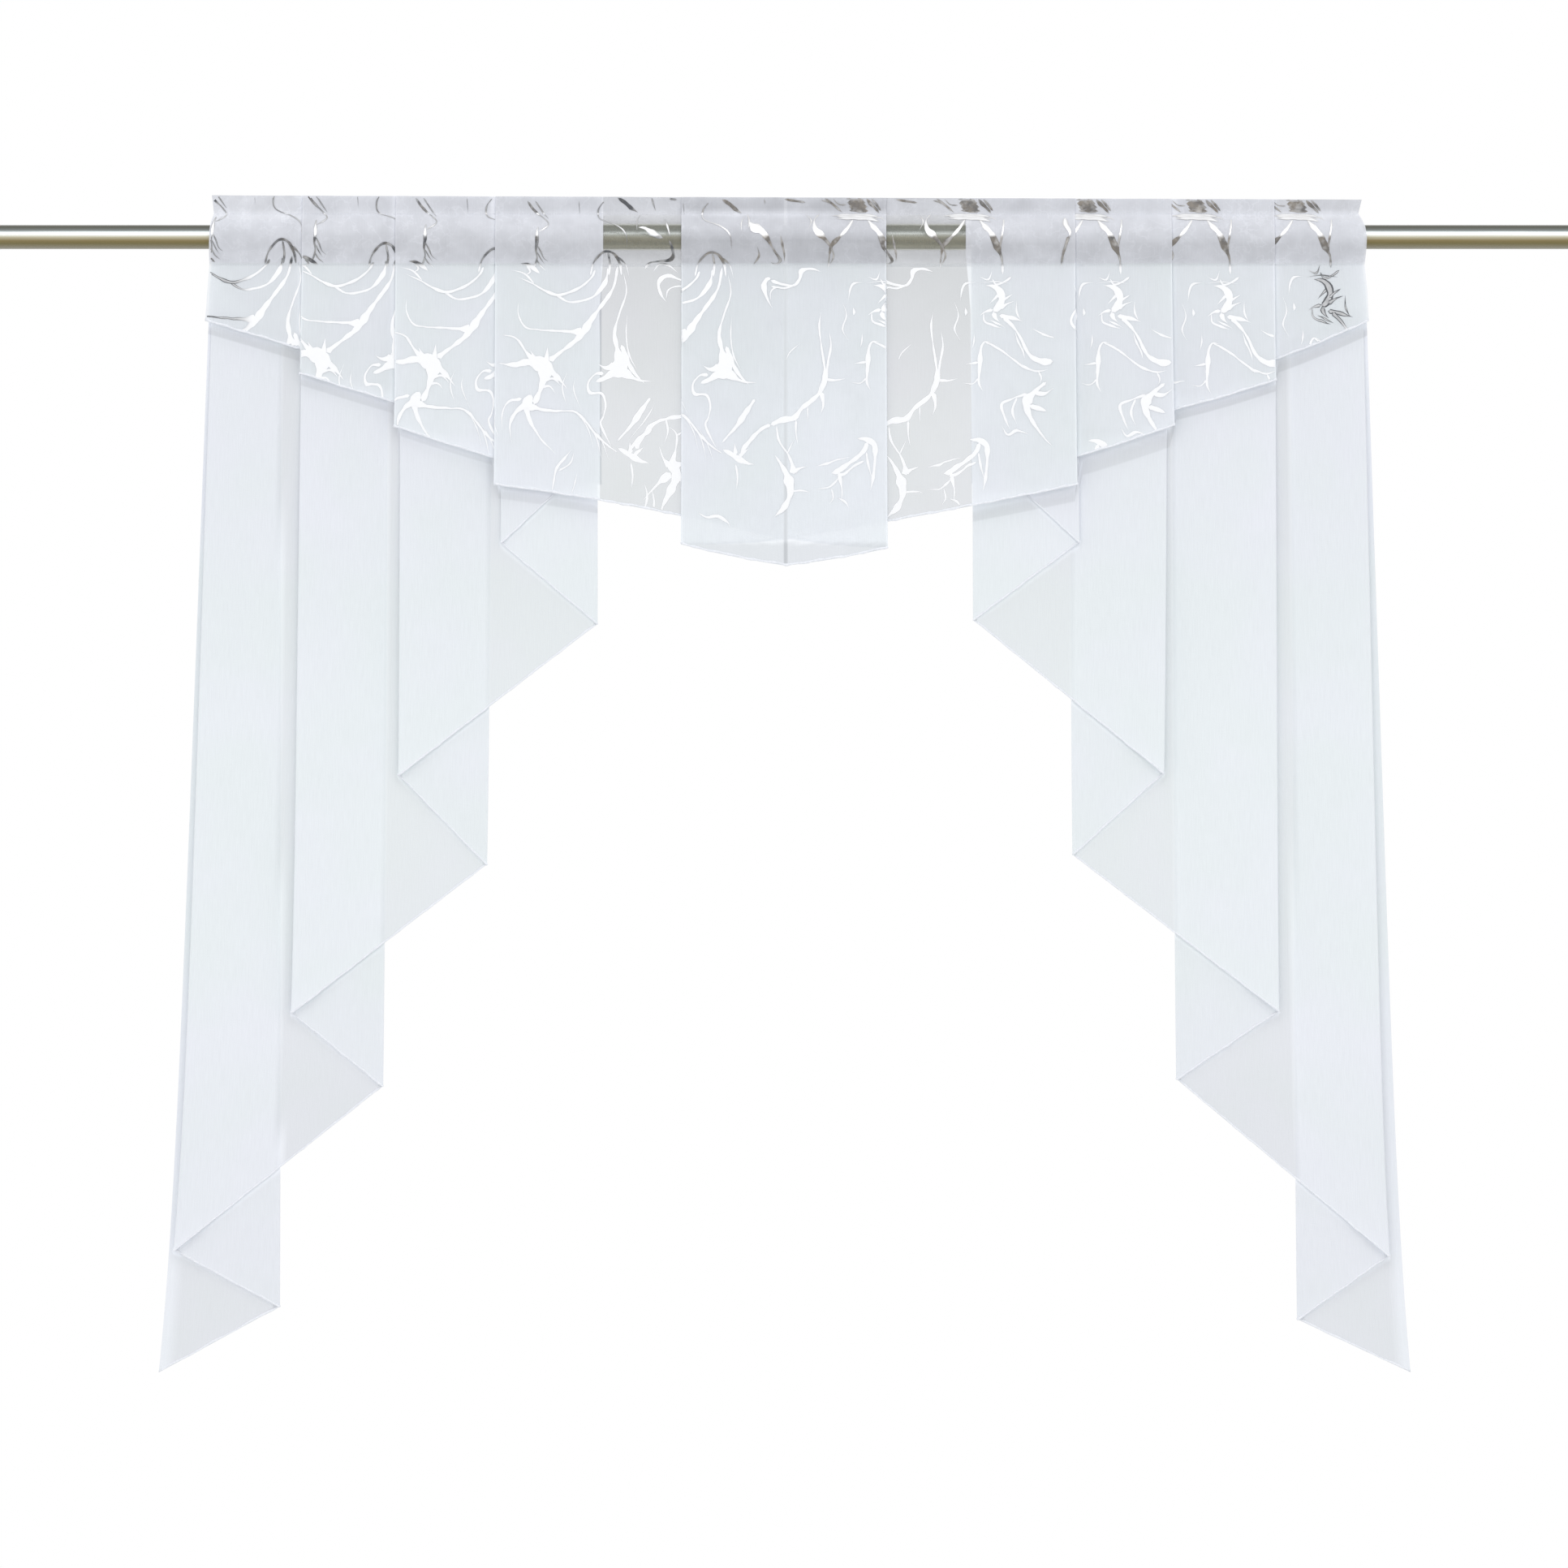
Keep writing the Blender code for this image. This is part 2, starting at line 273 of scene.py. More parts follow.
# Fold lines: distance from the middle at the heading and at the hem, and the hem's drop, in millimetres
valance = {
    "left": {
        "edge": (600.0, 605.0, 88),
        "edgeTier": 0,
        "pleats": [
            ((503.6, 506.6, 143), (409.5, 410.5, 148)),
            ((406.4, 408.1, 198), (307.0, 308.5, 200)),
            ((302.5, 304.2, 259), (191.8, 191.8, 258)),
            ((108.6, 109.0, 321), (1.7, 1.7, 316)),
        ],
        "end": (0.0, 0.0, 343),
        "bows": [-1.0, 1.5, 4.0, -5.0, 1.5],  # how far each hem sags between its folds
        # where one layer hangs alone: its outer edge by height
        "strip": ([-110, -80, -45, -20], [193.5, 194.0, 191.8, 190.0]),
    },
    "right": {
        "edge": (605.0, 607.6, 88),
        "edgeTier": 0,
        "pleats": [
            ((509.3, 511.2, 150), (408.5, 409.5, 158)),
            ((402.2, 405.4, 197), (306.5, 308.0, 199)),
            ((301.7, 304.2, 259), (193.5, 193.5, 257)),
            ((104.8, 106.5, 325), (1.7, 1.7, 315)),
        ],
        "end": (0.0, 0.0, 343),
        "bows": [6.0, 5.0, 4.0, 1.5, 1.5],
        "strip": ([-250, -80, -45, -20], [194.0, 192.7, 190.1, 187.6]),
    },
    "columnStep": 5.0,
    "creaseColumns": [1.6, 0.8],  # close to the middle, where the box pleat is creased
    "frillRows": 6,
    "pocketRows": 22,
    "hangRows": 70,
    "puff": 2.6,  # how far a fold stands out in front of its own panel
    "puffReach": 24.0,
    "puffFrom": (-29.5, 70.0),  # below this height, over this much length
    "bow": 1.5,  # of the returns' hems
    "flat": (2.84, 0.39),  # cut size in metres
    "flatArea": 0.80,
}

cascadeLeft = {
    "side": {
        "edge": (598.3, 653.6, 1184),
        "edgeTier": 2,
        "pleats": [
            ((595.8, 638.0, 1057), (525.6, 527.3, 1116)),
            ((503.6, 515.9, 810), (414.1, 419.5, 886)),
            ((401.4, 403.9, 562), (305.0, 311.4, 655)),
            ((295.8, 297.4, 320), (196.0, 196.0, 404)),
        ],
        "end": (198.0, 198.0, 228),
    },
    "way": -1,
    "flat": (1.13, 1.202),
    "flatArea": 0.88,
}

cascadeRight = {
    "side": {
        "edge": (603.0, 651.7, 1184),
        "edgeTier": 2,
        "pleats": [
            ((600.5, 629.7, 1063), (526.4, 533.1, 1129)),
            ((510.4, 514.4, 808), (402.2, 407.3, 879)),
            ((398.8, 394.8, 560), (295.8, 299.0, 645)),
            ((305.0, 306.6, 319), (194.5, 195.4, 400)),
        ],
        "end": (196.5, 196.5, 219),
    },
    "way": 1,
    "flat": (1.16, 1.202),
    "flatArea": 0.92,
}

cascadeCloth = {
    "columnStep": 7.0,
    "pocketRows": 12,
    "hangRows": 190,
    "puff": 5.0,
    "puffReach": 30.0,
    "bow": 0.0,
    "sideHem": 7.6,
    # a line along the tips of the valance's hem: its drop at the outer edge, and its fall for each
    # millimetre inwards
    "valanceHem": (88.0, 0.565),
    "puffFrom": (12.0, 170.0),  # below that line, over this much length
}

layerNumbers = {"front": 1.0, "back": 2.0, "under": 3.0}
farOff = 60.0  # distances from folds and hems are kept up to here
unitMargin = 0.01  # round a cloth that is laid out in a unit square


def bulge(z):
    # half a wave between the pocket's two seams
    middle = (heading["upperSeam"] + heading["lowerSeam"]) / 2
    reach = (heading["upperSeam"] - heading["lowerSeam"]) / 2
    return heading["bulge"] * np.cos(np.clip((z - middle) / reach, -1, 1) * np.pi / 2)


def cascadePitch(z):
    # the distance from layer to layer, which grows evenly down to the tips
    share = np.clip(-z / heading["cascadeLength"], 0, 1)
    return towards(heading["pitch"], heading["pitchAtTips"], share)


def valancePitch(z):
    # the distance from layer to layer, the same everywhere
    return np.full_like(z, heading["pitch"])


def cascadeRear(z):
    # the rear layer's place in Y: it bulges forwards over the rod
    return -heading["backOffset"] - bulge(z)


def valanceRear(z):
    # in front of all the cascades' layers, by an offset
    return cascadeRear(z) - 2 * heading["tiers"] * cascadePitch(z) - heading["valanceOffset"]


def lineAcross(top, hem, drop, z):
    # a fold line leans evenly, and flares near its hem
    share = np.clip(-z / drop, 0, None)
    flare = heading["flareShare"] * np.minimum(share, 1) ** heading["flarePower"]
    return towards(top, hem, (1 - heading["flareShare"]) * share + flare)


def sharedWave(x, z):
    # tight puckers near the seams, a slower wave that grows up the frill, and the slowest down the hang
    nearSeams = np.exp(-np.abs(z - heading["upperSeam"]) / unevenness["puckerReach"])
    nearSeams = nearSeams + np.exp(-np.abs(z - heading["lowerSeam"]) / unevenness["puckerReach"])
    frill = np.clip((z - heading["upperSeam"]) / unevenness["frillReach"], 0, 1)
    hang = np.clip(-z / heading["cascadeLength"], 0, 1)
    wave = unevenness["pucker"] * nearSeams * waves(x, unevenness["puckerWaves"])
    wave = wave + unevenness["frill"] * frill * waves(x, unevenness["frillWaves"])
    slow = 0.0
    for size, across, down, start in unevenness["hangWaves"]:
        slow = slow + size * np.sin(x / across + z / down + start)
    return wave + unevenness["hang"] * hang * slow


def drawIn(way, across, z):
    # distance from the middle after the ends of the heading have drawn in
    side = "Left" if way < 0 else "Right"
    edge = valance[side.lower()]["edge"][0]
    near = smooth((across - edge) / heading["drawReach"] + 1)
    return across - near * np.interp(z, heading["drawHeights"], heading["draw" + side])


def flatRun(start, end, tiers, rounds, step, layer, puff, bow):
    # columns of a flat layer between two fold lines, without its ends. tiers are places and heights along it
    count = max(int(abs(start[0] - end[0]) / step), 3)
    share = (np.arange(count) + 0.5) / count
    line = np.array(start)[:, None] * (1 - share) + np.array(end)[:, None] * share
    tier = np.interp(share, *tiers)
    curl = rounds[0] * (1 - share) + rounds[1] * share
    return {
        "line": line,
        "tier": tier,
        "curl": curl,
        "bow": bow * 4 * share * (1 - share),
        "puff": puff(line[0]),
        "layer": np.full(count, layerNumbers[layer]),
    }


def foldRun(line, tierIn, tierOut, curl, puffIn, puffOut, layer, steps=9):
    # columns round a fold: a half turn from one layer to the next
    angle = np.linspace(0, np.pi, steps)
    share = (1 - np.cos(angle)) / 2
    return {
        "line": np.repeat(np.array(line)[:, None], steps, axis=1),
        "tier": towards(tierIn, tierOut, share),
        "curl": curl * (1 - np.sin(angle)),
        "bow": np.zeros(steps),
        "puff": towards(puffIn, puffOut, share),
        "layer": np.full(steps, layerNumbers[layer]),
    }


def endRun(line, tier, layer):
    # a single column at an edge or a crease
    column = {key: np.zeros(1) for key in ("curl", "bow", "puff")}
    column["line"] = np.array(line, float)[:, None]
    column["tier"] = np.full(1, float(tier))
    column["layer"] = np.full(1, layerNumbers[layer])
    return column


def sideColumns(side, boxPleat, settings):
    # every upright line of one side of a cloth, from its outer edge inwards, as arrays. Each pleat is a front
    # layer, the turn at its inner end, the return behind it and the turn at the next fold
    tiers, step, reach, bow = heading["tiers"], settings["columnStep"], settings["puffReach"], settings["bow"]
    bows = iter(side.get("bows", [bow] * (len(side["pleats"]) + 1)))
    nextFronts = [front for front, inner in side["pleats"][1:]] + [side["end"]]
    runs, panels = [endRun(side["edge"], side["edgeTier"], "under")], [0]
    start, startTier, startCurl = side["edge"], side["edgeTier"], 0
    startPuff = np.zeros_like
    for number, ((front, inner), nextFront) in enumerate(zip(side["pleats"], nextFronts)):
        isFlat = boxPleat and nextFront is side["end"]
        sink = tiers * np.clip((front[0] - inner[0]) / (front[0] - nextFront[0]), 0, 1) * (not isFlat)
        crossing = (start[0] - front[0]) / (start[0] - inner[0])
        heights = ([0, crossing, 1], [startTier, tiers, tiers + sink])
        frontPuff = lambda x, own=front[0]: fadeFrom(own - x, reach)
        runs.append(flatRun(start, inner, heights, (startCurl, 1), step, "front", startPuff, next(bows)))
        runs.append(foldRun(inner, tiers + sink, 1 + sink, 1, 0, 0, "back"))
        backPuff = lambda x, own=frontPuff: heading["backPuff"] * own(x)
        runs.append(flatRun(inner, front, ([0, 1], [1 + sink, 1]), (1, -1), step, "back", backPuff, bow))
        runs.append(foldRun(front, 1, 0, -1, heading["backPuff"], 1, "front"))
        panels += [number, number, number, number + 1]
        start, startTier, startCurl, startPuff = front, 0, -1, frontPuff
    endTier = 0 if boxPleat else tiers
    heights = ([0, 1], [startTier, endTier])
    runs.append(flatRun(start, side["end"], heights, (startCurl, 0), step, "front", startPuff, next(bows)))
    runs += [endRun((x, x, side["end"][2]), endTier, "front") for x in settings.get("creaseColumns", [])]
    runs.append(endRun(side["end"], endTier, "front"))
    panels += [len(side["pleats"])] * (len(runs) - len(panels))
    for run, panel in zip(runs, panels):
        run["panel"] = np.full(len(run["tier"]), panel)
    return {key: np.concatenate([run[key] for run in runs], axis=-1) for key in runs[0]}


def rowHeights(tops, drops, settings):
    # rows of a cloth: level ones in the heading, then shares of the way down to each column's hem
    upper, lower = heading["upperSeam"], heading["lowerSeam"]
    rows = []
    levels = lower + (upper - lower) * (1 + np.cos(np.linspace(0, np.pi, settings["pocketRows"]))) / 2
    if tops.min() > upper:
        frill = np.linspace(1, 0, settings["frillRows"])[:-1, None]
        rows += list(towards(upper, tops, frill))
    else:
        levels = np.concatenate([tops[:1], levels[levels < tops[0] - 1]])
    rows += [np.full_like(drops, level) for level in levels]
    hang = np.linspace(0, 1, settings["hangRows"] + 1)[1:, None]
    rows += list(lower + (-drops - lower) * (1 - (1 - hang) ** heading["rowPower"]))
    return np.stack(rows)


def hangCloth(columns, way, tops, settings, rear, pitch, puffShare):
    # X, Y and Z of a cloth in millimetres: each column at its line's distance, each layer at its tier's depth
    top, hem, drop = columns["line"]
    z = rowHeights(tops, drop + columns["bow"], settings)
    width = pitch(z)
    x = way * drawIn(way, lineAcross(top, hem, drop, z) + columns["curl"] * width / 2, z)
    y = rear(z) - (2 * heading["tiers"] - columns["tier"]) * width
    y = y - settings["puff"] * columns["puff"] * puffShare(np.abs(x), z) + sharedWave(x, z)
    return np.stack([x, y, z], axis=-1)


def gapPlaces(points, columns, side, boxPleat):
    # how far each point lies outwards of the fold in front, and below the hem in front. Both change
    # evenly, so that the finish can draw fine lines from them
    far, fall = np.abs(points[..., 0]), -points[..., 2]
    isBack = columns["layer"] == layerNumbers["back"]
    away = (-farOff, -farOff, 1.0)
    fronts = [front for front, _ in side["pleats"]][: -1 if boxPleat else None]
    folds = np.array(fronts + [away] * (1 + boxPleat))
    inners = np.array([inner for _, inner in side["pleats"]] + [side["end"]] * 2)
    fold, panel = folds[columns["panel"]], columns["panel"]
    first = np.where(isBack[:, None], fold, inners[panel]).T
    last = np.where(isBack[:, None], inners[panel + 1], fold).T
    outward = np.where(isBack, -farOff, far - lineAcross(*fold.T, -fall))
    below = fall - first[2] - (last[2] - first[2]) * (far - first[1]) / (last[1] - first[1])
    return np.clip(outward, -farOff, farOff), np.clip(below, -farOff, farOff)


def ownFolds(columns, side, z):
    # where each column's panel begins at its outer fold
    lines = np.array([side["edge"]] + [front for front, _ in side["pleats"]])
    return lineAcross(*lines[columns["panel"]].T, z)


def flatPlaces(points):
    # distance along the cloth and down it, in millimetres, measured on the hung shape
    across = np.linalg.norm(np.diff(points[:, :, :2], axis=1), axis=-1)
    across = np.concatenate([[0.0], np.cumsum(np.median(across, axis=0))])
    down = np.linalg.norm(np.diff(points, axis=0), axis=-1)
    down = np.concatenate([np.zeros((1, points.shape[1])), np.cumsum(down, axis=0)])
    return across, down


def clothMaps(across, down):
    # the cloth's own map in metres, and the same laid out in a unit square
    u = np.broadcast_to(across, down.shape)
    cloth = np.stack([u, -down], axis=-1) * mm
    unit = np.stack([u / across[-1], 1 - down / down.max()], axis=-1) * (1 - 2 * unitMargin) + unitMargin
    return {"cloth": cloth, "OFBake": unit}


def frillTop(x):
    # the height of the frill's edge, which slopes evenly from end to end
    left, right = valance["left"]["edge"][0], valance["right"]["edge"][0]
    share = (x + left) / (left + right)
    return towards(heading["frillLeft"], heading["frillRight"], share)


def valancePuff(across, z):
    # the folds stand out more and more below the heading
    begin, length = valance["puffFrom"]
    return smooth((begin - z) / length)


def cascadePuff(across, z):
    # only below the valance's hem, so that the cascade's folds stay clear of the valance
    drop, fall = cascadeCloth["valanceHem"]
    hem = -(drop + fall * (valance["right"]["edge"][0] - across))
    begin, length = cascadeCloth["puffFrom"]
    return smooth((hem - begin - z) / length)


# cloth finishes. Their tone and how much they hide come from values on each piece.

voileLook = {
    "blue": (0.970, 1.0, 1.067),
    "green": (0.945, 1.0, 1.030),
    "heading": (0.978, 1.0, 1.072),
    "gilt": (0.99, 1.02, 0.90),
    "giltCovers": (0.60, 0.56),  # the covers at which the gilt begins and is whole
    "roughness": 0.8,
    "specular": 0.25,
    "lightest": 0.97,
    "clouds": {"plain": 0.012, "printed": 0.06},
    "headingClouds": 6.0,  # how many times stronger the clouds are in the heading
    "glint": 0.22,  # painted highlights along fine creases in the heading
    "glintSharpness": 34.0,
    "glintFrom": 0.25,
    "streak": 0.03,
    "streakCover": 0.06,
    "threads": 0.00012,  # height of the weave, in metres
    "threadStrength": 0.6,
    "tints": (2.4, 0.7),  # the spread of the bluer and greener patches, and what is taken off
    # noises on the cloth: waves to a metre and detail
    "noises": {
        "clouds": (38.0, 3.0),
        "streaks": ((900.0, 45.0, 1.0), 2.0),
        "warp": ((2600.0, 130.0, 1.0), 1.0),
        "weft": ((120.0, 2600.0, 1.0), 1.0),
        "creases": (55.0, 3.0),
        "glints": (17.0, 1.0),
        "tints": (9.0, 2.0),
    },
    # lightening where layers touch, which undoes the darkness of a narrow gap: share, reach in millimetres
    # and, beside a fold, power
    "besideFold": {"plain": (0.115, 3.2, 1.0), "printed": (0.32, 3.4, 1.3)},
    "besideReturn": (-4.0, 6.0),  # it ends round the zigzag hem, below which a cascade's fold has no return
    "onFold": (0.22, 1.2),  # on the fold's own round edge
    "gatheredLess": (0.3, 0.6),  # how much less of besideFold and onFold the heading has
    # painted light under the zigzag hems, which undoes the shade of their gaps
    "underZigzag": (0.27, 3.8),
    "behindFold": (-1.0, 2.0),  # where that ends beside the fold
    "zigzagEdge": (-3.0, -1.5),  # and where it begins at the zigzag hem
    "underHem": (0.29, 7.5),  # undone under the valance's hem, where an even shadow takes its place
    "hemEdge": (-12.0, -4.0),
    "shadow": (2.6, 0.012, 12.0),  # the width of its edge, and the rest beyond it: share and reach
}


def paintedGapLight(finish, gathered, kind):
    # painted light: the factor that lightens the cloth beside the fold in front, and on a printed fold's own
    # edge, against the shade of the narrow gaps
    outward = finish.attribute("outward")
    share, reach, power = voileLook["besideFold"][kind]
    lessBeside, lessOn = voileLook["gatheredLess"]
    factor = finish.bell(outward.math("ABSOLUTE"), reach, power) * share * (1.0 - gathered * lessBeside)
    if kind == "plain":
        return factor * (1.0 - finish.eased(finish.attribute("zigzag"), *voileLook["besideReturn"])) + 1.0
    share, reach = voileLook["onFold"]
    onFold = finish.bell(finish.attribute("edge"), reach) * share * (1.0 - gathered * lessOn)
    return (factor + 1.0) * (1.0 + onFold)


def paintedShadow(finish):
    # painted light under the zigzag hems, and a painted shadow under the valance's hem, even with a crisp
    # edge, in place of the gap's own shade
    outward, zigzag, below = (finish.attribute(key) for key in ("outward", "zigzag", "below"))
    share, reach = voileLook["underZigzag"]
    behind = 1.0 - finish.eased(outward, *voileLook["behindFold"])
    inside = behind * finish.eased(zigzag, *voileLook["zigzagEdge"])
    edges = 1.0 + finish.bell(zigzag, reach) * inside * share
    ending, rest, restReach = voileLook["shadow"]
    beyond = below - finish.attribute("plateau")
    after = finish.eased(beyond, 0.0, ending)
    shade = 1.0 - (1.0 - after) * finish.attribute("depth") - finish.bell(beyond, restReach) * after * rest
    gap, gapReach = voileLook["underHem"]
    natural = 1.0 - finish.bell(below, gapReach) * gap
    relief = (shade.math("DIVIDE", natural) - 1.0) * finish.eased(below, *voileLook["hemEdge"])
    return edges * (1.0 + relief)


def makeVoile(name, kind):
    # sheer cloth: tone and cover from the mesh, the tone times fine noises and the painted light and shade
    # above, and a tint
    finish = Finish(name, Roughness=voileLook["roughness"], Specular_IOR_Level=voileLook["specular"])
    cloth = finish.uvMap("cloth")
    tone, cover, gathered = (finish.attribute(key) for key in ("tone", "cover", "gathered"))
    if kind == "printed":
        # where one layer hangs alone, with a crisp edge
        alone = finish.eased(finish.attribute("strip"), -0.5, 0.5)
        tone = towards(tone, finish.attribute("stripTone"), alone)
        cover = towards(cover, finish.attribute("stripCover"), alone)
        # the colour it takes from the rod behind it
        gilt = finish.eased(cover, *voileLook["giltCovers"]) * alone
    clouds, streaks, warp, weft, creases, glints, tints = (
        finish.noise(cloth, scale, detail) for scale, detail in voileLook["noises"].values()
    )
    clouds = (clouds - 0.5) * (1.0 + gathered * (voileLook["headingClouds"] - 1))
    streaks = streaks - 0.5
    # painted highlights along fine creases in the heading
    creases = (1.0 - (creases - 0.5).math("ABSOLUTE") * voileLook["glintSharpness"]).math("MAXIMUM", 0.0)
    glints = creases * (glints - voileLook["glintFrom"]) * gathered
    uneven = 1.0 + clouds * voileLook["clouds"][kind] + streaks * voileLook["streak"]
    shade = tone * (uneven + glints * voileLook["glint"]) * paintedGapLight(finish, gathered, kind)
    if kind == "plain":
        shade = shade * paintedShadow(finish)
    shade = shade.math("MINIMUM", voileLook["lightest"])
    spread, less = voileLook["tints"]
    patches = tints * spread - less + finish.attribute("green")
    tint = finish.mixColour(patches, voileLook["blue"], voileLook["green"])
    tint = finish.mixColour(gathered, tint, voileLook["heading"])
    if kind == "printed":
        tint = finish.mixColour(gilt, tint, voileLook["gilt"])
    grey = finish.node("ShaderNodeCombineXYZ", None, {0: shade, 1: shade, 2: shade})[0]
    colour = finish.node("ShaderNodeVectorMath", {"operation": "MULTIPLY"}, {0: grey, 1: tint})[0]
    finish.wire("Base Color", colour)
    finish.wire("Alpha", (cover + streaks * voileLook["streakCover"]).math("MINIMUM", 1.0))
    finish.bump(warp + weft, voileLook["threads"], voileLook["threadStrength"])
    return finish.material


threadLook = {
    "dark": (0.76, 0.785, 0.84),
    "light": (0.88, 0.90, 0.945),
    "roughness": 0.55,
    "specular": 0.4,
    "rolls": ((420.0, 420.0, 420.0), 3.0),
    "spread": (2.2, 0.7),
    "height": 0.0004,
}


def makeThread():
    # white thread, a little lumpy
    finish = Finish("hemThread", Roughness=threadLook["roughness"], Specular_IOR_Level=threadLook["specular"])
    rolls = finish.noise(finish.place(), *threadLook["rolls"])
    spread, less = threadLook["spread"]
    tone = finish.mixColour(rolls * spread - less, threadLook["dark"], threadLook["light"])
    finish.wire("Base Color", tone)
    finish.bump(rolls, threadLook["height"])
    return finish.material


voilePlain = makeVoile("voilePlain", "plain")
voilePrinted = makeVoile("voilePrinted", "printed")
hemThread = makeThread()


# the valance

valanceTones = {
    # tone of each panel from the outer edge to the middle, as its fold lines part them
    "left": [0.835, 0.850, 0.852, 0.845, 0.795],
    "right": [0.840, 0.856, 0.846, 0.848, 0.810],
    "cover": 0.80,
    "nearHem": (0.93, 24.0),  # the outer panel darkens to this share over this height above its hem
    # the heading: heights in millimetres over the rod's axis where the tone turns, and the tones there
    # Partly painted light and shade: lighter low in the side panels' pocket, where it curves under, and
    # darker below the middle of the box pleat's pocket.
    "heading": ([-28, -24, -8, 0, 23, 31], [0.78, 0.74, 0.65, 0.65, 0.73, 0.68]),
    "boxHeading": ([-25, -5, 8, 19, 23, 31, 43], [0.63, 0.52, 0.64, 0.66, 0.74, 0.55, 0.63]),
    # each panel's share of that in the frill and in the pocket's lower half
    "frill": {"left": [0.93, 1.02, 1.02, 1.01, 1.0], "right": [0.84, 1.0, 1.0, 0.95, 1.0]},
    "low": {"left": [1.0, 1.03, 1.0, 0.97, 1.0], "right": [0.96, 0.94, 0.94, 0.92, 1.0]},
    "headingCover": 0.88,
    # below the heading each panel lightens by its share of this gain, by height
    "gain": ([-295, -190, -30], [0.10, 0.085, 0.0]),
    "gainShare": {"left": [0.0, 0.1, 0.6, 0.65, 1.0], "right": [0.0, 0.0, 0.4, 0.45, 1.0]},
    # where one layer hangs alone, beside the box pleat: it changes at the seams and at the rod's edges, with
    # painted shade where the rod lies behind it
    "stripTone": (
        [-200, -33, -31, -28, -20, -14, -12.7, 12.7, 14, 22, 24, 45],
        [0.65, 0.53, 0.60, 0.60, 0.46, 0.45, 0.29, 0.29, 0.48, 0.57, 0.62, 0.55],
    ),
    "stripCover": (
        [-33, -28, -14, -12.7, 12.7, 14, 22, 24],
        [0.70, 0.62, 0.62, 0.54, 0.54, 0.62, 0.62, 0.88],
    ),
    "stripInset": 6.0,  # it begins this far behind the box pleat's fold
    # the box pleat's own hem hangs alone below its underlay, and has painted shade along the crease down its
    # middle
    "alone": 0.735,
    "aloneCover": 0.92,
    "underlay": -318.0,
    # painted shade along the crease
    "crease": ([-260, -40], [0.77, 0.86]),  # the tone's share by height
    "creaseHalf": 2.6,
    "panelLead": 2.0,  # a panel's tone begins this far before its fold line
    "lowFrom": -2.0,
    # over how many millimetres each tone gives way to the next
    "blends": {"heading": 3.0, "box": 3.0, "frill": 6.0, "low": 8.0, "underlay": 3.0, "crease": 1.4},
}


def valanceValues(points, columns, side):
    # what the finish reads at each point, from its distance from the middle and its height
    across, z, blends = np.abs(points[..., 0]), points[..., 2], valanceTones["blends"]
    lines = [front[0] for front, inner in valance[side]["pleats"]]
    panel = (across[..., None] < np.array(lines) + valanceTones["panelLead"]).sum(axis=-1)
    box = lines[-1]
    tone = np.array(valanceTones[side])[panel]
    cover = np.full(across.shape, valanceTones["cover"])
    isAlone = (columns["panel"] == len(lines) - 1) & (columns["layer"] == layerNumbers["front"])
    strip = np.interp(z, *valance[side]["strip"]) - across
    strip = np.minimum(strip, across - box + valanceTones["stripInset"])
    strip = np.where(isAlone, np.clip(strip, -farOff, farOff), -farOff)
    inHeading = smooth((z - heading["lowerSeam"]) / blends["heading"])
    inBox = smooth((box + blends["box"] - across) / blends["box"])
    inFrill = smooth((z - heading["upperSeam"]) / blends["frill"])
    inLow = smooth((valanceTones["lowFrom"] - z) / blends["low"])

    darkest, reach = valanceTones["nearHem"]
    tone *= 1 - (1 - darkest) * smooth(1 - (hemDrop(across, side)[0] + z) / reach) * (panel == 0)
    byHeight = lambda key: np.interp(z, *valanceTones[key])
    tone *= 1 + byHeight("gain") * np.array(valanceTones["gainShare"][side])[panel]
    alone = inBox * smooth((valanceTones["underlay"] - z) / blends["underlay"])
    # painted shade along the box pleat's crease
    crease = smooth((valanceTones["creaseHalf"] - across) / blends["crease"]) * (1 - inHeading)
    tone = towards(tone, valanceTones["alone"], alone)
    tone *= 1 - crease * (1 - byHeight("crease"))
    cover = towards(towards(cover, valanceTones["aloneCover"], alone), 1, crease)

    own = towards(byHeight("heading"), byHeight("boxHeading"), inBox)
    own *= towards(1, np.array(valanceTones["frill"][side])[panel], inFrill)
    own *= towards(1, np.array(valanceTones["low"][side])[panel], inLow)
    edge = np.clip(ownFolds(columns, valance[side], z) - across, 0, farOff)
    return {
        "tone": towards(tone, own, inHeading),
        "cover": towards(cover, valanceTones["headingCover"], inHeading),
        "gathered": inHeading,
        "strip": strip,
        "stripTone": byHeight("stripTone"),
        "stripCover": byHeight("stripCover"),
        "outward": gapPlaces(points, columns, valance[side], True)[0],
        "edge": np.where(panel > 0, edge, farOff),
    }


def hemDrop(across, side):
    # the drop of the valance's visible hem, panel by panel, and the panel's number
    pleats = valance[side]["pleats"]
    starts = [valance[side]["edge"]] + [front for front, _ in pleats[:-1]]
    drop, panel = np.zeros_like(across), np.zeros(across.shape, int)
    for number, (start, (_, inner)) in enumerate(zip(starts, pleats)):
        inside = across < start[1]
        share = (start[1] - across) / (start[1] - inner[1])
        own = towards(start[2], inner[2], share) + valance[side]["bows"][number] * 4 * share * (1 - share)
        drop, panel = np.where(inside, own, drop), np.where(inside, number, panel)
    return drop, panel


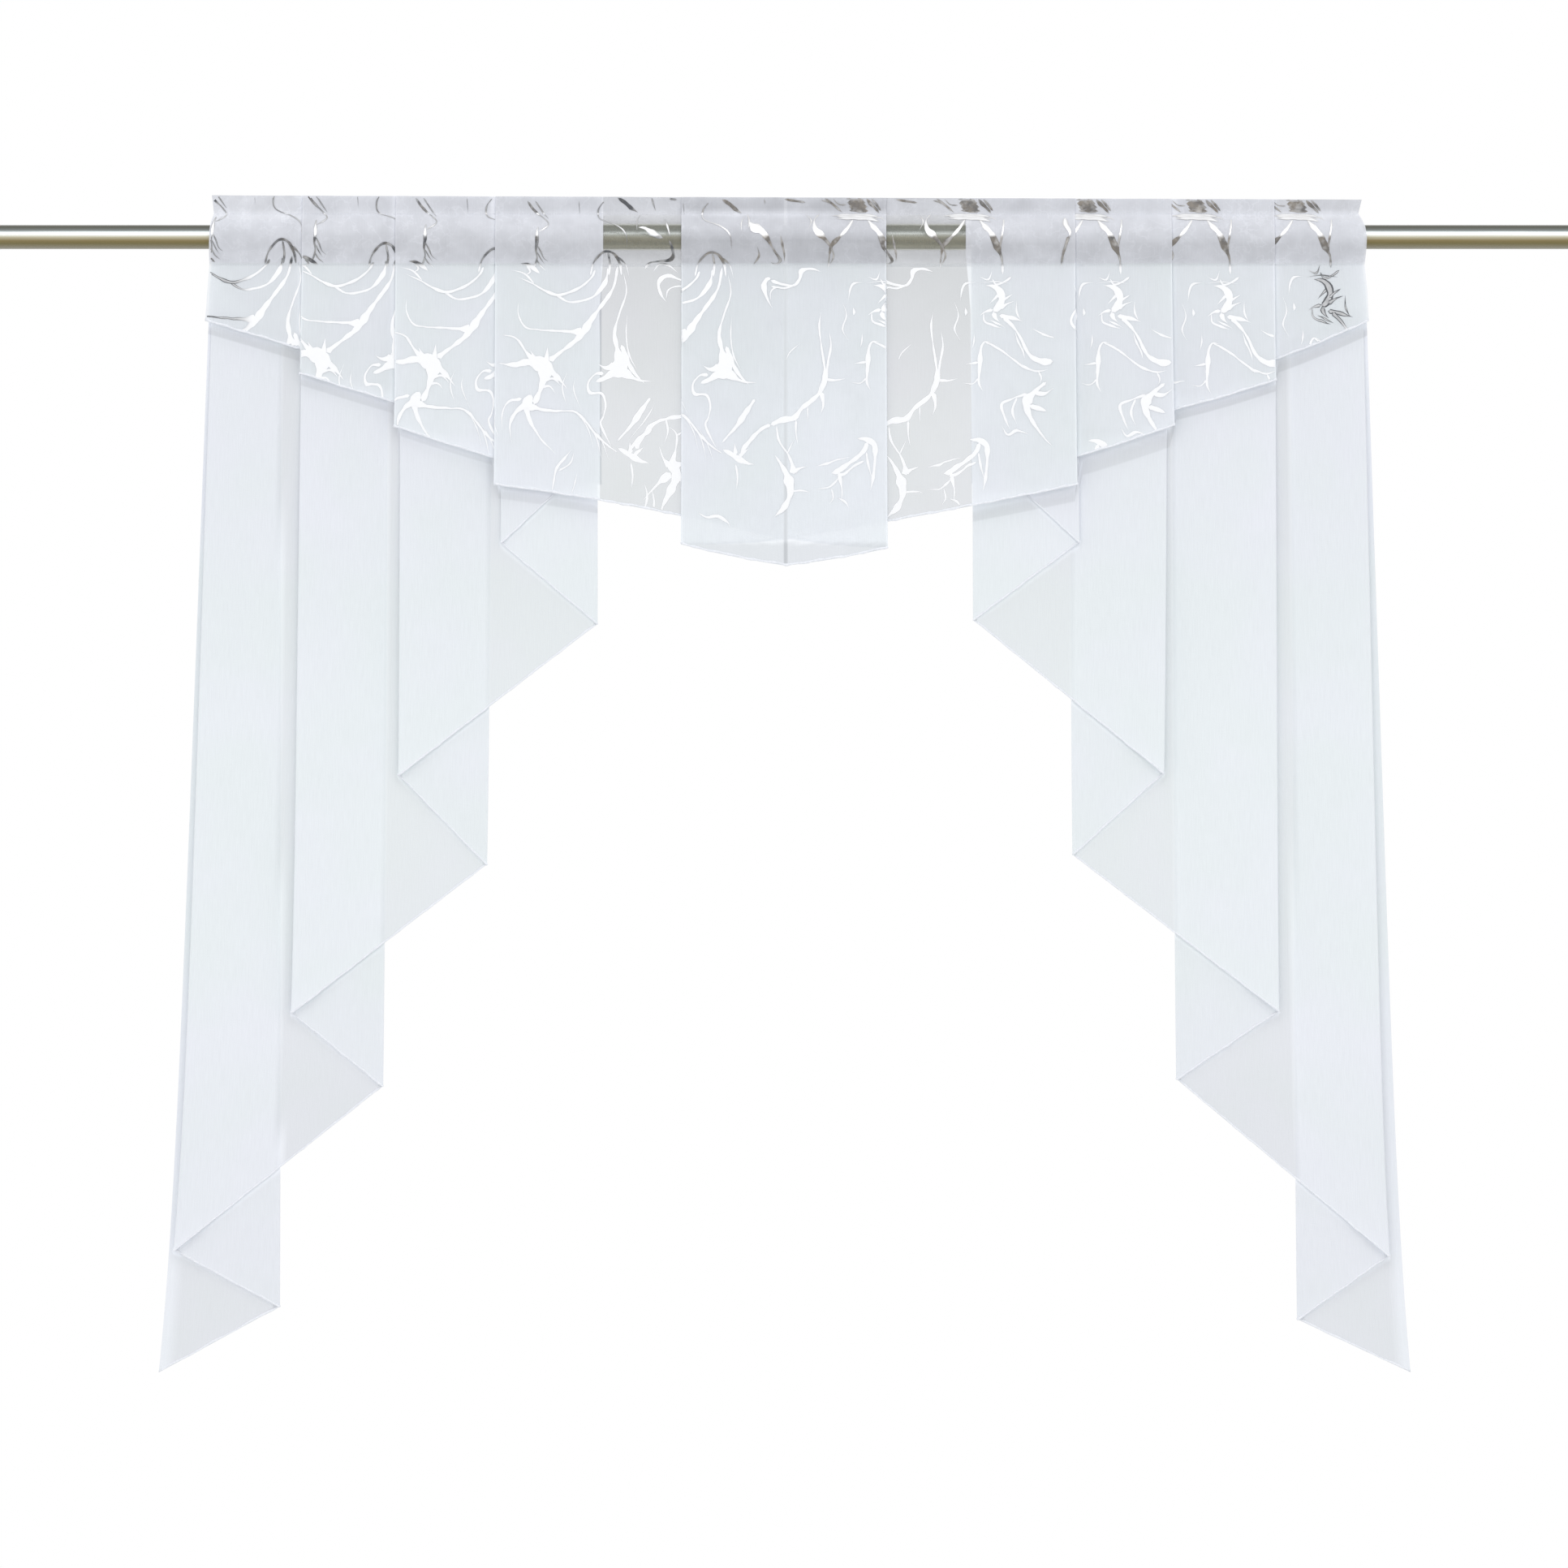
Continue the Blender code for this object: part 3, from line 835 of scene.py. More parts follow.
def makeValance():
    # both halves hang from their own columns, and are joined at the middle with the right one's turned round
    halves, painted = [], []
    for side, way in (("left", -1), ("right", 1)):
        columns = sideColumns(valance[side], True, valance)
        tops = frillTop(way * columns["line"][0])
        half = hangCloth(columns, way, tops, valance, valanceRear, valancePitch, valancePuff)
        halves.append(half)
        painted.append(valanceValues(half, columns, side))
    join = lambda pair: np.concatenate([pair[0], pair[1][:, -2::-1]], axis=1)
    points = join(halves)
    across, down = flatPlaces(points)
    faces = gridFaces(*points.shape[:2])
    values = {key: join([half[key] for half in painted]) for key in painted[0]}
    piece = makePiece(
        "valance_cloth", points * mm, faces, voilePrinted, clothMaps(across, down), values
    )
    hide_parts("valance")
    return piece, points, across, down


valancePiece, valancePoints, valanceAcross, valanceDown = makeValance()
print("valance made", valancePoints.shape, round(valanceAcross[-1]), round(valanceDown.max()))


# the pocket's wall: the cloth turned back over the frill's edge and down behind the rod

wallSettings = {
    "gap": 1.3,  # from the rod
    "arc": 75,  # where it goes round the rod: degrees over and under the level
    "head": 1.4,  # behind the valance's rear layer in the frill
    "foot": (1.5, 1.6),  # its lower edge, behind the rod's axis and under the lower seam
    "columns": 300,
    "rows": {"head": 6, "lead": 7, "arc": 28, "foot": 7},
    "slack": [(0.25, 9.0, 0.0, 0.0, 1.0), (0.2, 3.7, 0.0, 0.0, 1.0)],
    "slackReach": 20.0,
    "values": {"tone": 0.92, "cover": 0.45, "outward": farOff, "edge": farOff, "strip": -farOff},
}


def makePocketWall():
    # a profile in Y and Z carried along X, its top following the frill's edge
    rows, upper = wallSettings["rows"], heading["upperSeam"]
    radius = heading["rodRadius"] + wallSettings["gap"]
    angle = np.radians(np.linspace(wallSettings["arc"], -wallSettings["arc"], rows["arc"]))
    head = float(valanceRear(np.array(upper))) + wallSettings["head"]
    x = np.linspace(-valance["left"]["edge"][0], valance["right"]["edge"][0], wallSettings["columns"])
    zHead = towards(upper, frillTop(x), np.linspace(1, 0, rows["head"])[:, None])
    yArc, zArc = np.cos(angle) * radius, np.sin(angle) * radius
    lead = np.linspace(0, 1, rows["lead"])[1:-1]
    drop = np.linspace(0, 1, rows["foot"])[1:]
    yFoot, underSeam = wallSettings["foot"]
    zFoot = heading["lowerSeam"] - underSeam
    profileY = [towards(head, yArc[0], smooth(lead)), yArc, towards(yArc[-1], yFoot, smooth(drop))]
    profileZ = [towards(upper, zArc[0], lead), zArc, towards(zArc[-1], zFoot, drop)]
    y, z = (
        np.concatenate([top, np.repeat(np.concatenate(profile)[:, None], len(x), axis=1)])
        for top, profile in ((np.full_like(zHead, head), profileY), (zHead, profileZ))
    )
    y = y + waves(x, wallSettings["slack"]) * np.clip(np.abs(z) / wallSettings["slackReach"], 0, 1)
    x = np.where(x < 0, -drawIn(-1, -x, z), drawIn(1, x, z))
    points = np.stack([x, y, z], axis=-1)
    across, down = flatPlaces(points)
    values = {key: np.full(z.shape, value) for key, value in wallSettings["values"].items()}
    return makePiece(
        "pocket_wall", points * mm, gridFaces(*z.shape), voilePrinted,
        clothMaps(across, down), values,
    )


pocketWall = makePocketWall()


# the cascades

cascadeTones = {
    # by height under the rod, in millimetres
    "heights": [0, 200, 350, 500, 750, 900, 1184],
    "front": [0.845, 0.850, 0.872, 0.893, 0.893, 0.875, 0.862],
    "back": [0.865, 0.868, 0.872, 0.872, 0.860, 0.845, 0.835],
    "alone": [0.700, 0.700, 0.752, 0.780, 0.765, 0.728, 0.727],  # with no return in front or behind
    "aloneBlend": 2.0,
    "sideHem": 0.83,
    "cover": 0.90,
    "sideHemCover": 0.98,
    "green": (0.7, -0.35),  # the greener middle: how much, and against what
    "greenBand": ((260, 120), (740, 160)),  # where it begins and ends, each with its blend
    # width of the valance's shadow under each panel, from the outer one
    "shadowWidth": {"left": [11.0, 10.0, 6.0, 12.0], "right": [13.0, 9.5, 19.0, 15.0]},
    "shadowDepth": {"left": [0.15, 0.125, 0.125, 0.105], "right": [0.15, 0.15, 0.11, 0.115]},
}


def cascadeValues(points, columns, side, valanceSide):
    # what the finish reads at each point
    across, far, fall = columns["line"][0], np.abs(points[..., 0]), -points[..., 2]
    front, back, single = (
        np.interp(fall, cascadeTones["heights"], cascadeTones[key]) for key in ("front", "back", "alone")
    )
    inFront, panel = columns["layer"] != layerNumbers["back"], columns["panel"]
    # one layer alone: the outer panel, and the others outwards of the hidden end of the layer before
    inners = np.array([side["edge"]] + [inner for _, inner in side["pleats"]])
    past = lineAcross(*inners[panel].T, -fall) - far
    alone = smooth(past / cascadeTones["aloneBlend"] + 0.5) * inFront * (panel > 0)
    alone = np.maximum(alone, inFront * (panel == 0))
    hem = smooth((cascadeCloth["sideHem"] - side["edge"][0] + across) + 0.5) * (panel == 0)
    tone = towards(towards(np.where(inFront, front, back), single, alone), cascadeTones["sideHem"], hem)
    cover = towards(cascadeTones["cover"], cascadeTones["sideHemCover"], hem)

    drop, above = hemDrop(far, valanceSide)
    ofPanel = lambda key: np.array(cascadeTones[key][valanceSide])[above]
    rising, falling = (smooth((fall - place) / blend) for place, blend in cascadeTones["greenBand"])
    much, against = cascadeTones["green"]
    outward, zigzag = gapPlaces(points, columns, side, False)
    return {
        "tone": tone,
        "cover": np.broadcast_to(cover, fall.shape),
        "green": against + much * (rising - falling),
        "outward": outward,
        "zigzag": zigzag,
        "below": np.clip(fall - drop, -farOff, farOff),
        "plateau": ofPanel("shadowWidth"),
        "depth": ofPanel("shadowDepth"),
    }


def makeCascade(name, settings):
    # the grid of its columns and rows. The right one's columns run the other way, so its faces are turned
    side, way = settings["side"], settings["way"]
    columns = sideColumns(side, False, cascadeCloth)
    tops = np.full(columns["line"].shape[1], heading["cascadeTop"])
    points = hangCloth(columns, way, tops, cascadeCloth, cascadeRear, cascadePitch, cascadePuff)
    across, down = flatPlaces(points)
    values = cascadeValues(points, columns, side, "left" if way < 0 else "right")
    faces = gridFaces(*points.shape[:2])
    if way > 0:
        faces = faces[:, ::-1]
    piece = makePiece(
        name + "_cloth", points * mm, faces, voilePlain, clothMaps(across, down), values
    )
    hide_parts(name)
    print(name, "made", points.shape, round(across[-1]), round(down.max()))
    return piece, points


leftPiece, leftPoints = makeCascade("cascade_left", cascadeLeft)
rightPiece, rightPoints = makeCascade("cascade_right", cascadeRight)


# rolled hems: a flattened roll carried along the lower edge of each cloth

hemSettings = {
    "height": 2.3,
    "thickness": 1.2,
    "sides": 10,
    "swell": [(0.22, 3.1, 0.0, 1.0, 17.0), (0.15, 1.9, 0.0, 0.0, 1.0)],
    "kink": 0.35,
    "kinks": [(1.0, 8.3, 0.0, 0.0, 1.0), (1.0, 3.3, 1.0, 0.0, 1.0)],
}


def rolledHem(name, points):
    # an oval carried along the cloth's last row: its height lies along the cloth, its thickness across it
    edge = points[-1]
    tangent = np.gradient(edge, axis=0)
    tangent /= np.linalg.norm(tangent, axis=-1, keepdims=True)
    up = points[-2] - points[-1]
    up /= np.linalg.norm(up, axis=-1, keepdims=True)
    out = np.cross(tangent, up)
    out /= np.linalg.norm(out, axis=-1, keepdims=True)
    run = np.concatenate([[0.0], np.cumsum(np.linalg.norm(np.diff(edge, axis=0), axis=-1))])
    swell = waves(run, hemSettings["swell"], 1.0)
    kink = hemSettings["kink"] * waves(run, hemSettings["kinks"])
    angle = np.linspace(0, 2 * np.pi, hemSettings["sides"], endpoint=False)
    high = hemSettings["height"] / 2
    lift = np.cos(angle)[:, None] * high * swell + high + kink
    side = np.sin(angle)[:, None] * hemSettings["thickness"] / 2 * swell
    tube = edge + up * lift[..., None] + out * side[..., None]
    # both ends are closed by triangles round a point in their middle
    faces = gridFaces(len(angle), len(edge), wrapRows=True)
    cap = np.arange(len(angle)) * len(edge)
    tube = np.concatenate([tube.reshape(-1, 3), tube[:, 0].mean(0)[None], tube[:, -1].mean(0)[None]])
    following, far = np.roll(cap, -1), len(edge) - 1
    begin = np.stack([cap, following, np.full_like(cap, len(tube) - 2)], axis=-1)
    end = np.stack([following + far, cap + far, np.full_like(cap, len(tube) - 1)], axis=-1)
    return makePiece(name, tube * mm, faces.tolist() + begin.tolist() + end.tolist(), hemThread)


valanceHem = rolledHem("valance_hem", valancePoints)
leftHem = rolledHem("cascade_left_hem", leftPoints)
rightHem = rolledHem("cascade_right_hem", rightPoints)
print("hems made")


# stitches: short threads over the pocket's two seams, on whichever layer lies in front

stitchSettings = {
    "pitch": 2.6,
    "length": 2.0,
    "width": 0.34,
    "out": 0.22,  # in front of the cloth
    "inset": 3.0,
    "sides": 6,
    "rings": ([-0.5, -0.42, 0.0, 0.42, 0.5], [0.05, 0.8, 1.0, 0.8, 0.05]),  # places along it and girths there
    "tilt": (0.12, 1.7),  # how much, and its pace along the seam
}


def makeStitches():
    # each stitch is a spindle along X: a few rings of a small circle, drawn in at both ends
    places, girths = stitchSettings["rings"]
    spread = np.array(places) * stitchSettings["length"]
    girth = np.array(girths) * stitchSettings["width"] / 2
    angle = np.linspace(0, 2 * np.pi, stitchSettings["sides"], endpoint=False)[:, None]
    inset, (tilts, pace), tubes = stitchSettings["inset"], stitchSettings["tilt"], []
    for level in (heading["upperSeam"], heading["lowerSeam"]):
        row = int(np.abs(valancePoints[:, 0, 2] - level).argmin())
        lineX, lineY = valancePoints[row, :, 0], valancePoints[row, :, 1]
        x = np.arange(lineX.min() + inset, lineX.max() - inset, stitchSettings["pitch"])
        share = (x[:, None] - lineX[:-1]) / np.where(np.diff(lineX) == 0, 1e-9, np.diff(lineX))
        depth = lineY[:-1] + np.diff(lineY) * share
        front = np.where((share >= 0) & (share <= 1), depth, np.inf).min(axis=1) - stitchSettings["out"]
        tilt = tilts * np.sin(x * pace)[:, None, None] * spread
        tubeX = x[:, None, None] + spread + 0 * angle
        tubeY = front[:, None, None] + np.cos(angle) * girth
        tubeZ = level + tilt + np.sin(angle) * girth
        tubes.append(np.stack([tubeX, tubeY, tubeZ], axis=-1))
    tubes = np.concatenate(tubes)
    rings = gridFaces(stitchSettings["sides"], len(spread), wrapRows=True)
    faces = rings + (np.arange(len(tubes)) * tubes[0].size // 3)[:, None, None]
    return makePiece("seam_stitches", tubes * mm, faces.reshape(-1, 4), hemThread)


seamStitches = makeStitches()
print("stitches made", len(seamStitches.data.polygons))


# the marble print: veins of foil laid on the cloth, one drawing for the left and middle and one for the right

foilSettings = {
    # where each repeat begins along the cloth and down it, and how much lower it lies below the heading
    "left": [(-300, -10, 0), (2, -6, 0), (299, -2, 0), (612, 4, 0), (950, 7, 0), (1272, 8.5, 0)],
    "right": [(1482, 0, 0), (1805, 0, 0), (2145, 0, 0), (2451, 0, 0), (2757, 0, -7)],
    "border": 1380.0,  # where the one drawing takes over from the other
    "stretch": 1.0141,
    "lift": 0.16,
    "step": 2.4,
    "thinDark": 0.55,  # how dark a thin vein is beside a wide one
    "headingWidth": 0.75,
    "headingDown": (84, 6),  # how far down the cloth the heading ends, and the blend there
    "shiftDown": (60, 25),  # how far down the cloth it begins to lie lower, and the blend there
    "swell": ((0.2, 4.7, 2.1), (0.14, 2.1, 1)),  # the width's waves: size, length, and start for each number
    "cap": 1.5,
    "layer": (0.03, 11),  # each vein's lift over the last, and how many lifts there are
    # how near the cloth's edges a vein is drawn: from its sides, from its top and as a share of the hang
    "inner": (1.0, 0.5, 0.995),
}

# Each vein runs through places of one repeat: across, down and how wide it is there, in millimetres
veinsLeft = [
    # heading and pocket
    [(-9, -2, 1.6), (-4, 6, 3.4), (2, 13, 3.6), (8, 19, 2), (13, 27, 1.6), (8, 33, 2.6), (2, 37, 2)],
    [(-1, -2, 1.4), (4, 6, 2.6), (9, 14, 2), (13, 20, 0)],
    [(2, 30, 2), (1, 37, 3.6), (1, 47, 4.4), (0, 56, 2.6), (1, 66, 2), (-2, 78, 2.4)],
    [(1, 50, 1.6), (5, 58, 1.6), (8, 66, 1.4), (13, 71, 0)],
    [(1, 58, 1.6), (5, 67, 1.6), (9, 74, 0)],
    [(0, 66, 2), (4, 75, 1.8), (10, 81, 0)],
    [(-16, 73, 0), (-9, 74, 4.4), (-3, 78, 6), (4, 84, 2)],
    [(-10, 75, 3), (-6, 82, 2.6), (-12, 86, 0)],
    [(70, -2, 1.6), (64, 8, 1.8), (66, 20, 1.6), (82, 28, 1.8), (92, 38, 1.6), (94, 54, 0)],
    [(44, -2, 1), (45, 16, 0)],
    [(56, 86, 2), (60, 70, 2.4), (70, 58, 3), (80, 60, 4.6), (86, 72, 3), (88, 86, 2.2)],
    [(74, 58, 3), (76, 72, 2.6), (75, 86, 2)],
    [(84, 64, 3), (92, 74, 1.6), (96, 88, 0)],
    [(105, 31, 0), (112, 32, 6), (119, 37, 10), (126, 41, 7), (131, 43, 0)],
    [(108, 13, 0), (104, 23, 2), (104, 35, 0)],
    [(132, 19, 0), (135, 29, 2.6), (138, 41, 2)],
    [(137, 45, 2), (140, 53, 4), (141, 63, 5), (137, 68.5, 5), (126, 70, 3), (117, 72, 3), (112, 79, 2)],
    [(120, 83, 0), (127, 74, 3), (136, 75, 3), (146, 83, 0)],
    [(84, -6, 2.6), (92, 0, 5), (98, 6, 6), (105, 11, 0)],
    [(119, -6, 2), (121, 2, 2.6), (123, 9, 0)],
    [(137, -5, 3), (145, -4, 4)],
    # swags under the arch
    [(-20, 87, 0), (-4, 94, 1.8), (8, 101, 2), (22, 106, 3.6), (35, 103, 2.4), (47, 97, 2.4),
     (57, 88, 2.2), (61, 80, 1.6)],
    [(20, 105, 3), (33, 113, 2), (47, 112, 2), (60, 107, 2.6), (70, 95, 4.6), (73, 87, 2.4), (74, 78, 2)],
    [(-26, 80, 0), (-12, 84, 1.6), (-2, 94, 1.8)],
    [(84, 76, 2.2), (81, 94, 2.6), (76, 105, 3.2), (66, 119, 4), (56, 133, 5), (49, 144, 9),
     (40, 154, 4), (27, 164, 3.4), (14, 174, 6)],
    [(-18, 113, 0), (-18, 126, 1.4), (-11, 139, 1.6), (2, 142, 1.6), (20, 143, 1.8), (38, 144, 4.4),
     (48, 144, 8)],
    # first splash
    [(-39.5, 176.4, 0), (-23.5, 178.4, 4), (-7.5, 175.4, 9), (6.5, 178.4, 15), (16.5, 185.4, 9),
     (26.5, 195.4, 2), (32.5, 203.4, 0)],
    [(-5.5, 163.4, 0), (-1.5, 170.4, 3), (4.5, 179.4, 8)],
    [(12.5, 159.4, 0), (11.5, 168.4, 4), (10.5, 179.4, 10)],
    [(-33.5, 147.4, 1.2), (-19.5, 151.4, 1.6), (-9.5, 165.4, 3), (2.5, 178.4, 9)],
    [(10.5, 181.4, 14), (8.5, 191.4, 9), (4.5, 205.4, 4.5), (-1.5, 219.4, 5)],
    [(9.5, 189.4, 5), (18.5, 185.4, 2.4), (24.5, 191.4, 0)],
    [(7.5, 195.4, 4), (18.5, 192.4, 2.2), (26.5, 200.4, 0)],
    [(5.5, 201.4, 3), (14.5, 200.4, 1.6), (20.5, 207.4, 0)],
    [(32.5, 185.4, 0), (27.5, 201.4, 1.6), (32.5, 221.4, 0)],
    [(40.5, 191.4, 0), (39.5, 205.4, 1.3), (48.5, 227.4, 0)],
    # tent beside it, with a loop
    [(90, 83, 0), (93, 103, 1.6), (86, 125, 1.8), (81, 145, 3), (84, 163, 6), (86, 179, 14),
     (74, 190, 6), (62, 196, 1.6)],
    [(70, 187, 4), (61, 188, 2), (54, 197, 1.6), (56, 207, 3), (68, 208, 3), (72, 219, 1.6),
     (70, 231, 1.6), (67, 239, 2.4), (73, 253, 1.6), (79, 264, 0)],
    [(94, 125.4, 0), (93, 147.4, 1.4), (96, 167.4, 1.6), (104, 183.4, 0)],
    [(88, 157.4, 3), (94, 173.4, 6), (102, 187.4, 3), (112, 197.4, 0)],
    [(82, 179.4, 12), (72, 181.4, 4), (64, 177.4, 0)],
    [(74, 189.4, 7), (88, 185.4, 11), (104, 193.4, 3), (120, 195.4, 0)],
    # second splash
    [(-4, 209, 5), (-10, 219, 9), (-20, 227, 4), (-26, 241, 2), (-24, 261, 0)],
    [(-8, 221, 8), (10, 225, 3), (28, 226, 1.8), (41, 227, 2), (52, 237, 2.6), (62, 250, 2.2),
     (75, 262, 2), (84, 268, 1)],
    [(-10, 221, 7), (-5, 237, 3), (6, 255, 2), (22, 271, 0)],
    [(-14, 213, 3), (-28, 217, 2), (-34, 229, 1.4), (-34, 247, 0)],
    [(-40, 223, 0), (-42, 239, 1.2), (-38, 253, 0)],
    [(42, 226, 0), (54, 244, 1.2), (60, 266, 0)],
    [(48, 232, 0), (62, 252, 1.6), (68, 276, 0)],
    [(56, 238, 0), (68, 256, 1.2), (76, 278, 0)],
    # hook, brush strokes, arrow and branch
    [(174, 78, 0), (170, 87, 2), (160, 92, 1.6), (148, 90, 2), (137, 86, 3), (129, 89, 5),
     (126, 96, 4), (129, 106, 2), (134, 113, 0)],
    [(160, 97, 0), (145, 97, 1.6), (136, 101, 2), (134, 110, 0)],
    [(118, 212, 2), (109, 225, 6), (99, 240, 4), (84, 257, 1)],
    [(123, 217, 0), (114, 233, 1.4), (96, 256, 0)],
    [(120, 240, 0), (117, 246, 3), (107, 254, 5), (95, 268, 2)],
    [(85, 264, 1.5), (95, 270, 7), (105, 276, 5), (117, 280, 0)],
    [(97, 258, 0), (98, 270, 6)],
    [(111, 263, 0), (101, 272, 5)],
    [(103, 265, 5), (110, 253, 3), (120, 240, 4), (134, 234, 3), (154, 229, 4), (171, 214, 5),
     (187, 203, 3.5), (193, 189, 4), (190, 171, 3), (190, 151, 2.4), (191, 125, 1.4)],
    [(134, 234, 3), (136, 247, 1.4), (132, 260, 0)],
    [(154, 229, 3), (155, 242, 1.6), (151, 256, 0)],
    # lower end, where only the middle panels reach
    [(127, 262, 0), (131, 274, 2.4), (139, 284, 6)],
    [(137, 242, 0), (145, 250, 2), (144, 266, 1.6), (141, 280, 8), (145, 292, 11), (139, 308, 7),
     (131, 324, 2.5), (127, 344, 0)],
    [(145, 251, 2), (155, 244, 0)],
    [(143, 282, 8), (157, 278, 2), (173, 280, 0)],
    [(145, 294, 8), (161, 298, 2), (175, 294, 0)],
    [(139, 290, 9), (123, 304, 2.4), (111, 318, 0)],
    [(98, 279, 1.6), (100, 292, 2.4), (99, 305, 0)],
    [(112, 300, 0), (115, 315, 2), (110, 335, 1.6), (106, 348, 0)],
    [(120, 306, 0), (122, 322, 2.2), (118, 344, 0)],
    [(60, 330, 0), (68, 334, 3), (80, 333, 3.4), (90, 340, 1.6), (92, 346, 0)],
    [(38, 265, 0), (30, 275, 2), (22, 285, 3), (19, 300, 1.4), (17, 315, 0)],
    [(40, 268, 0), (36, 280, 1.6), (24, 288, 2)],
    [(43, 290, 0), (41, 300, 1.6), (37, 314, 0)],
]


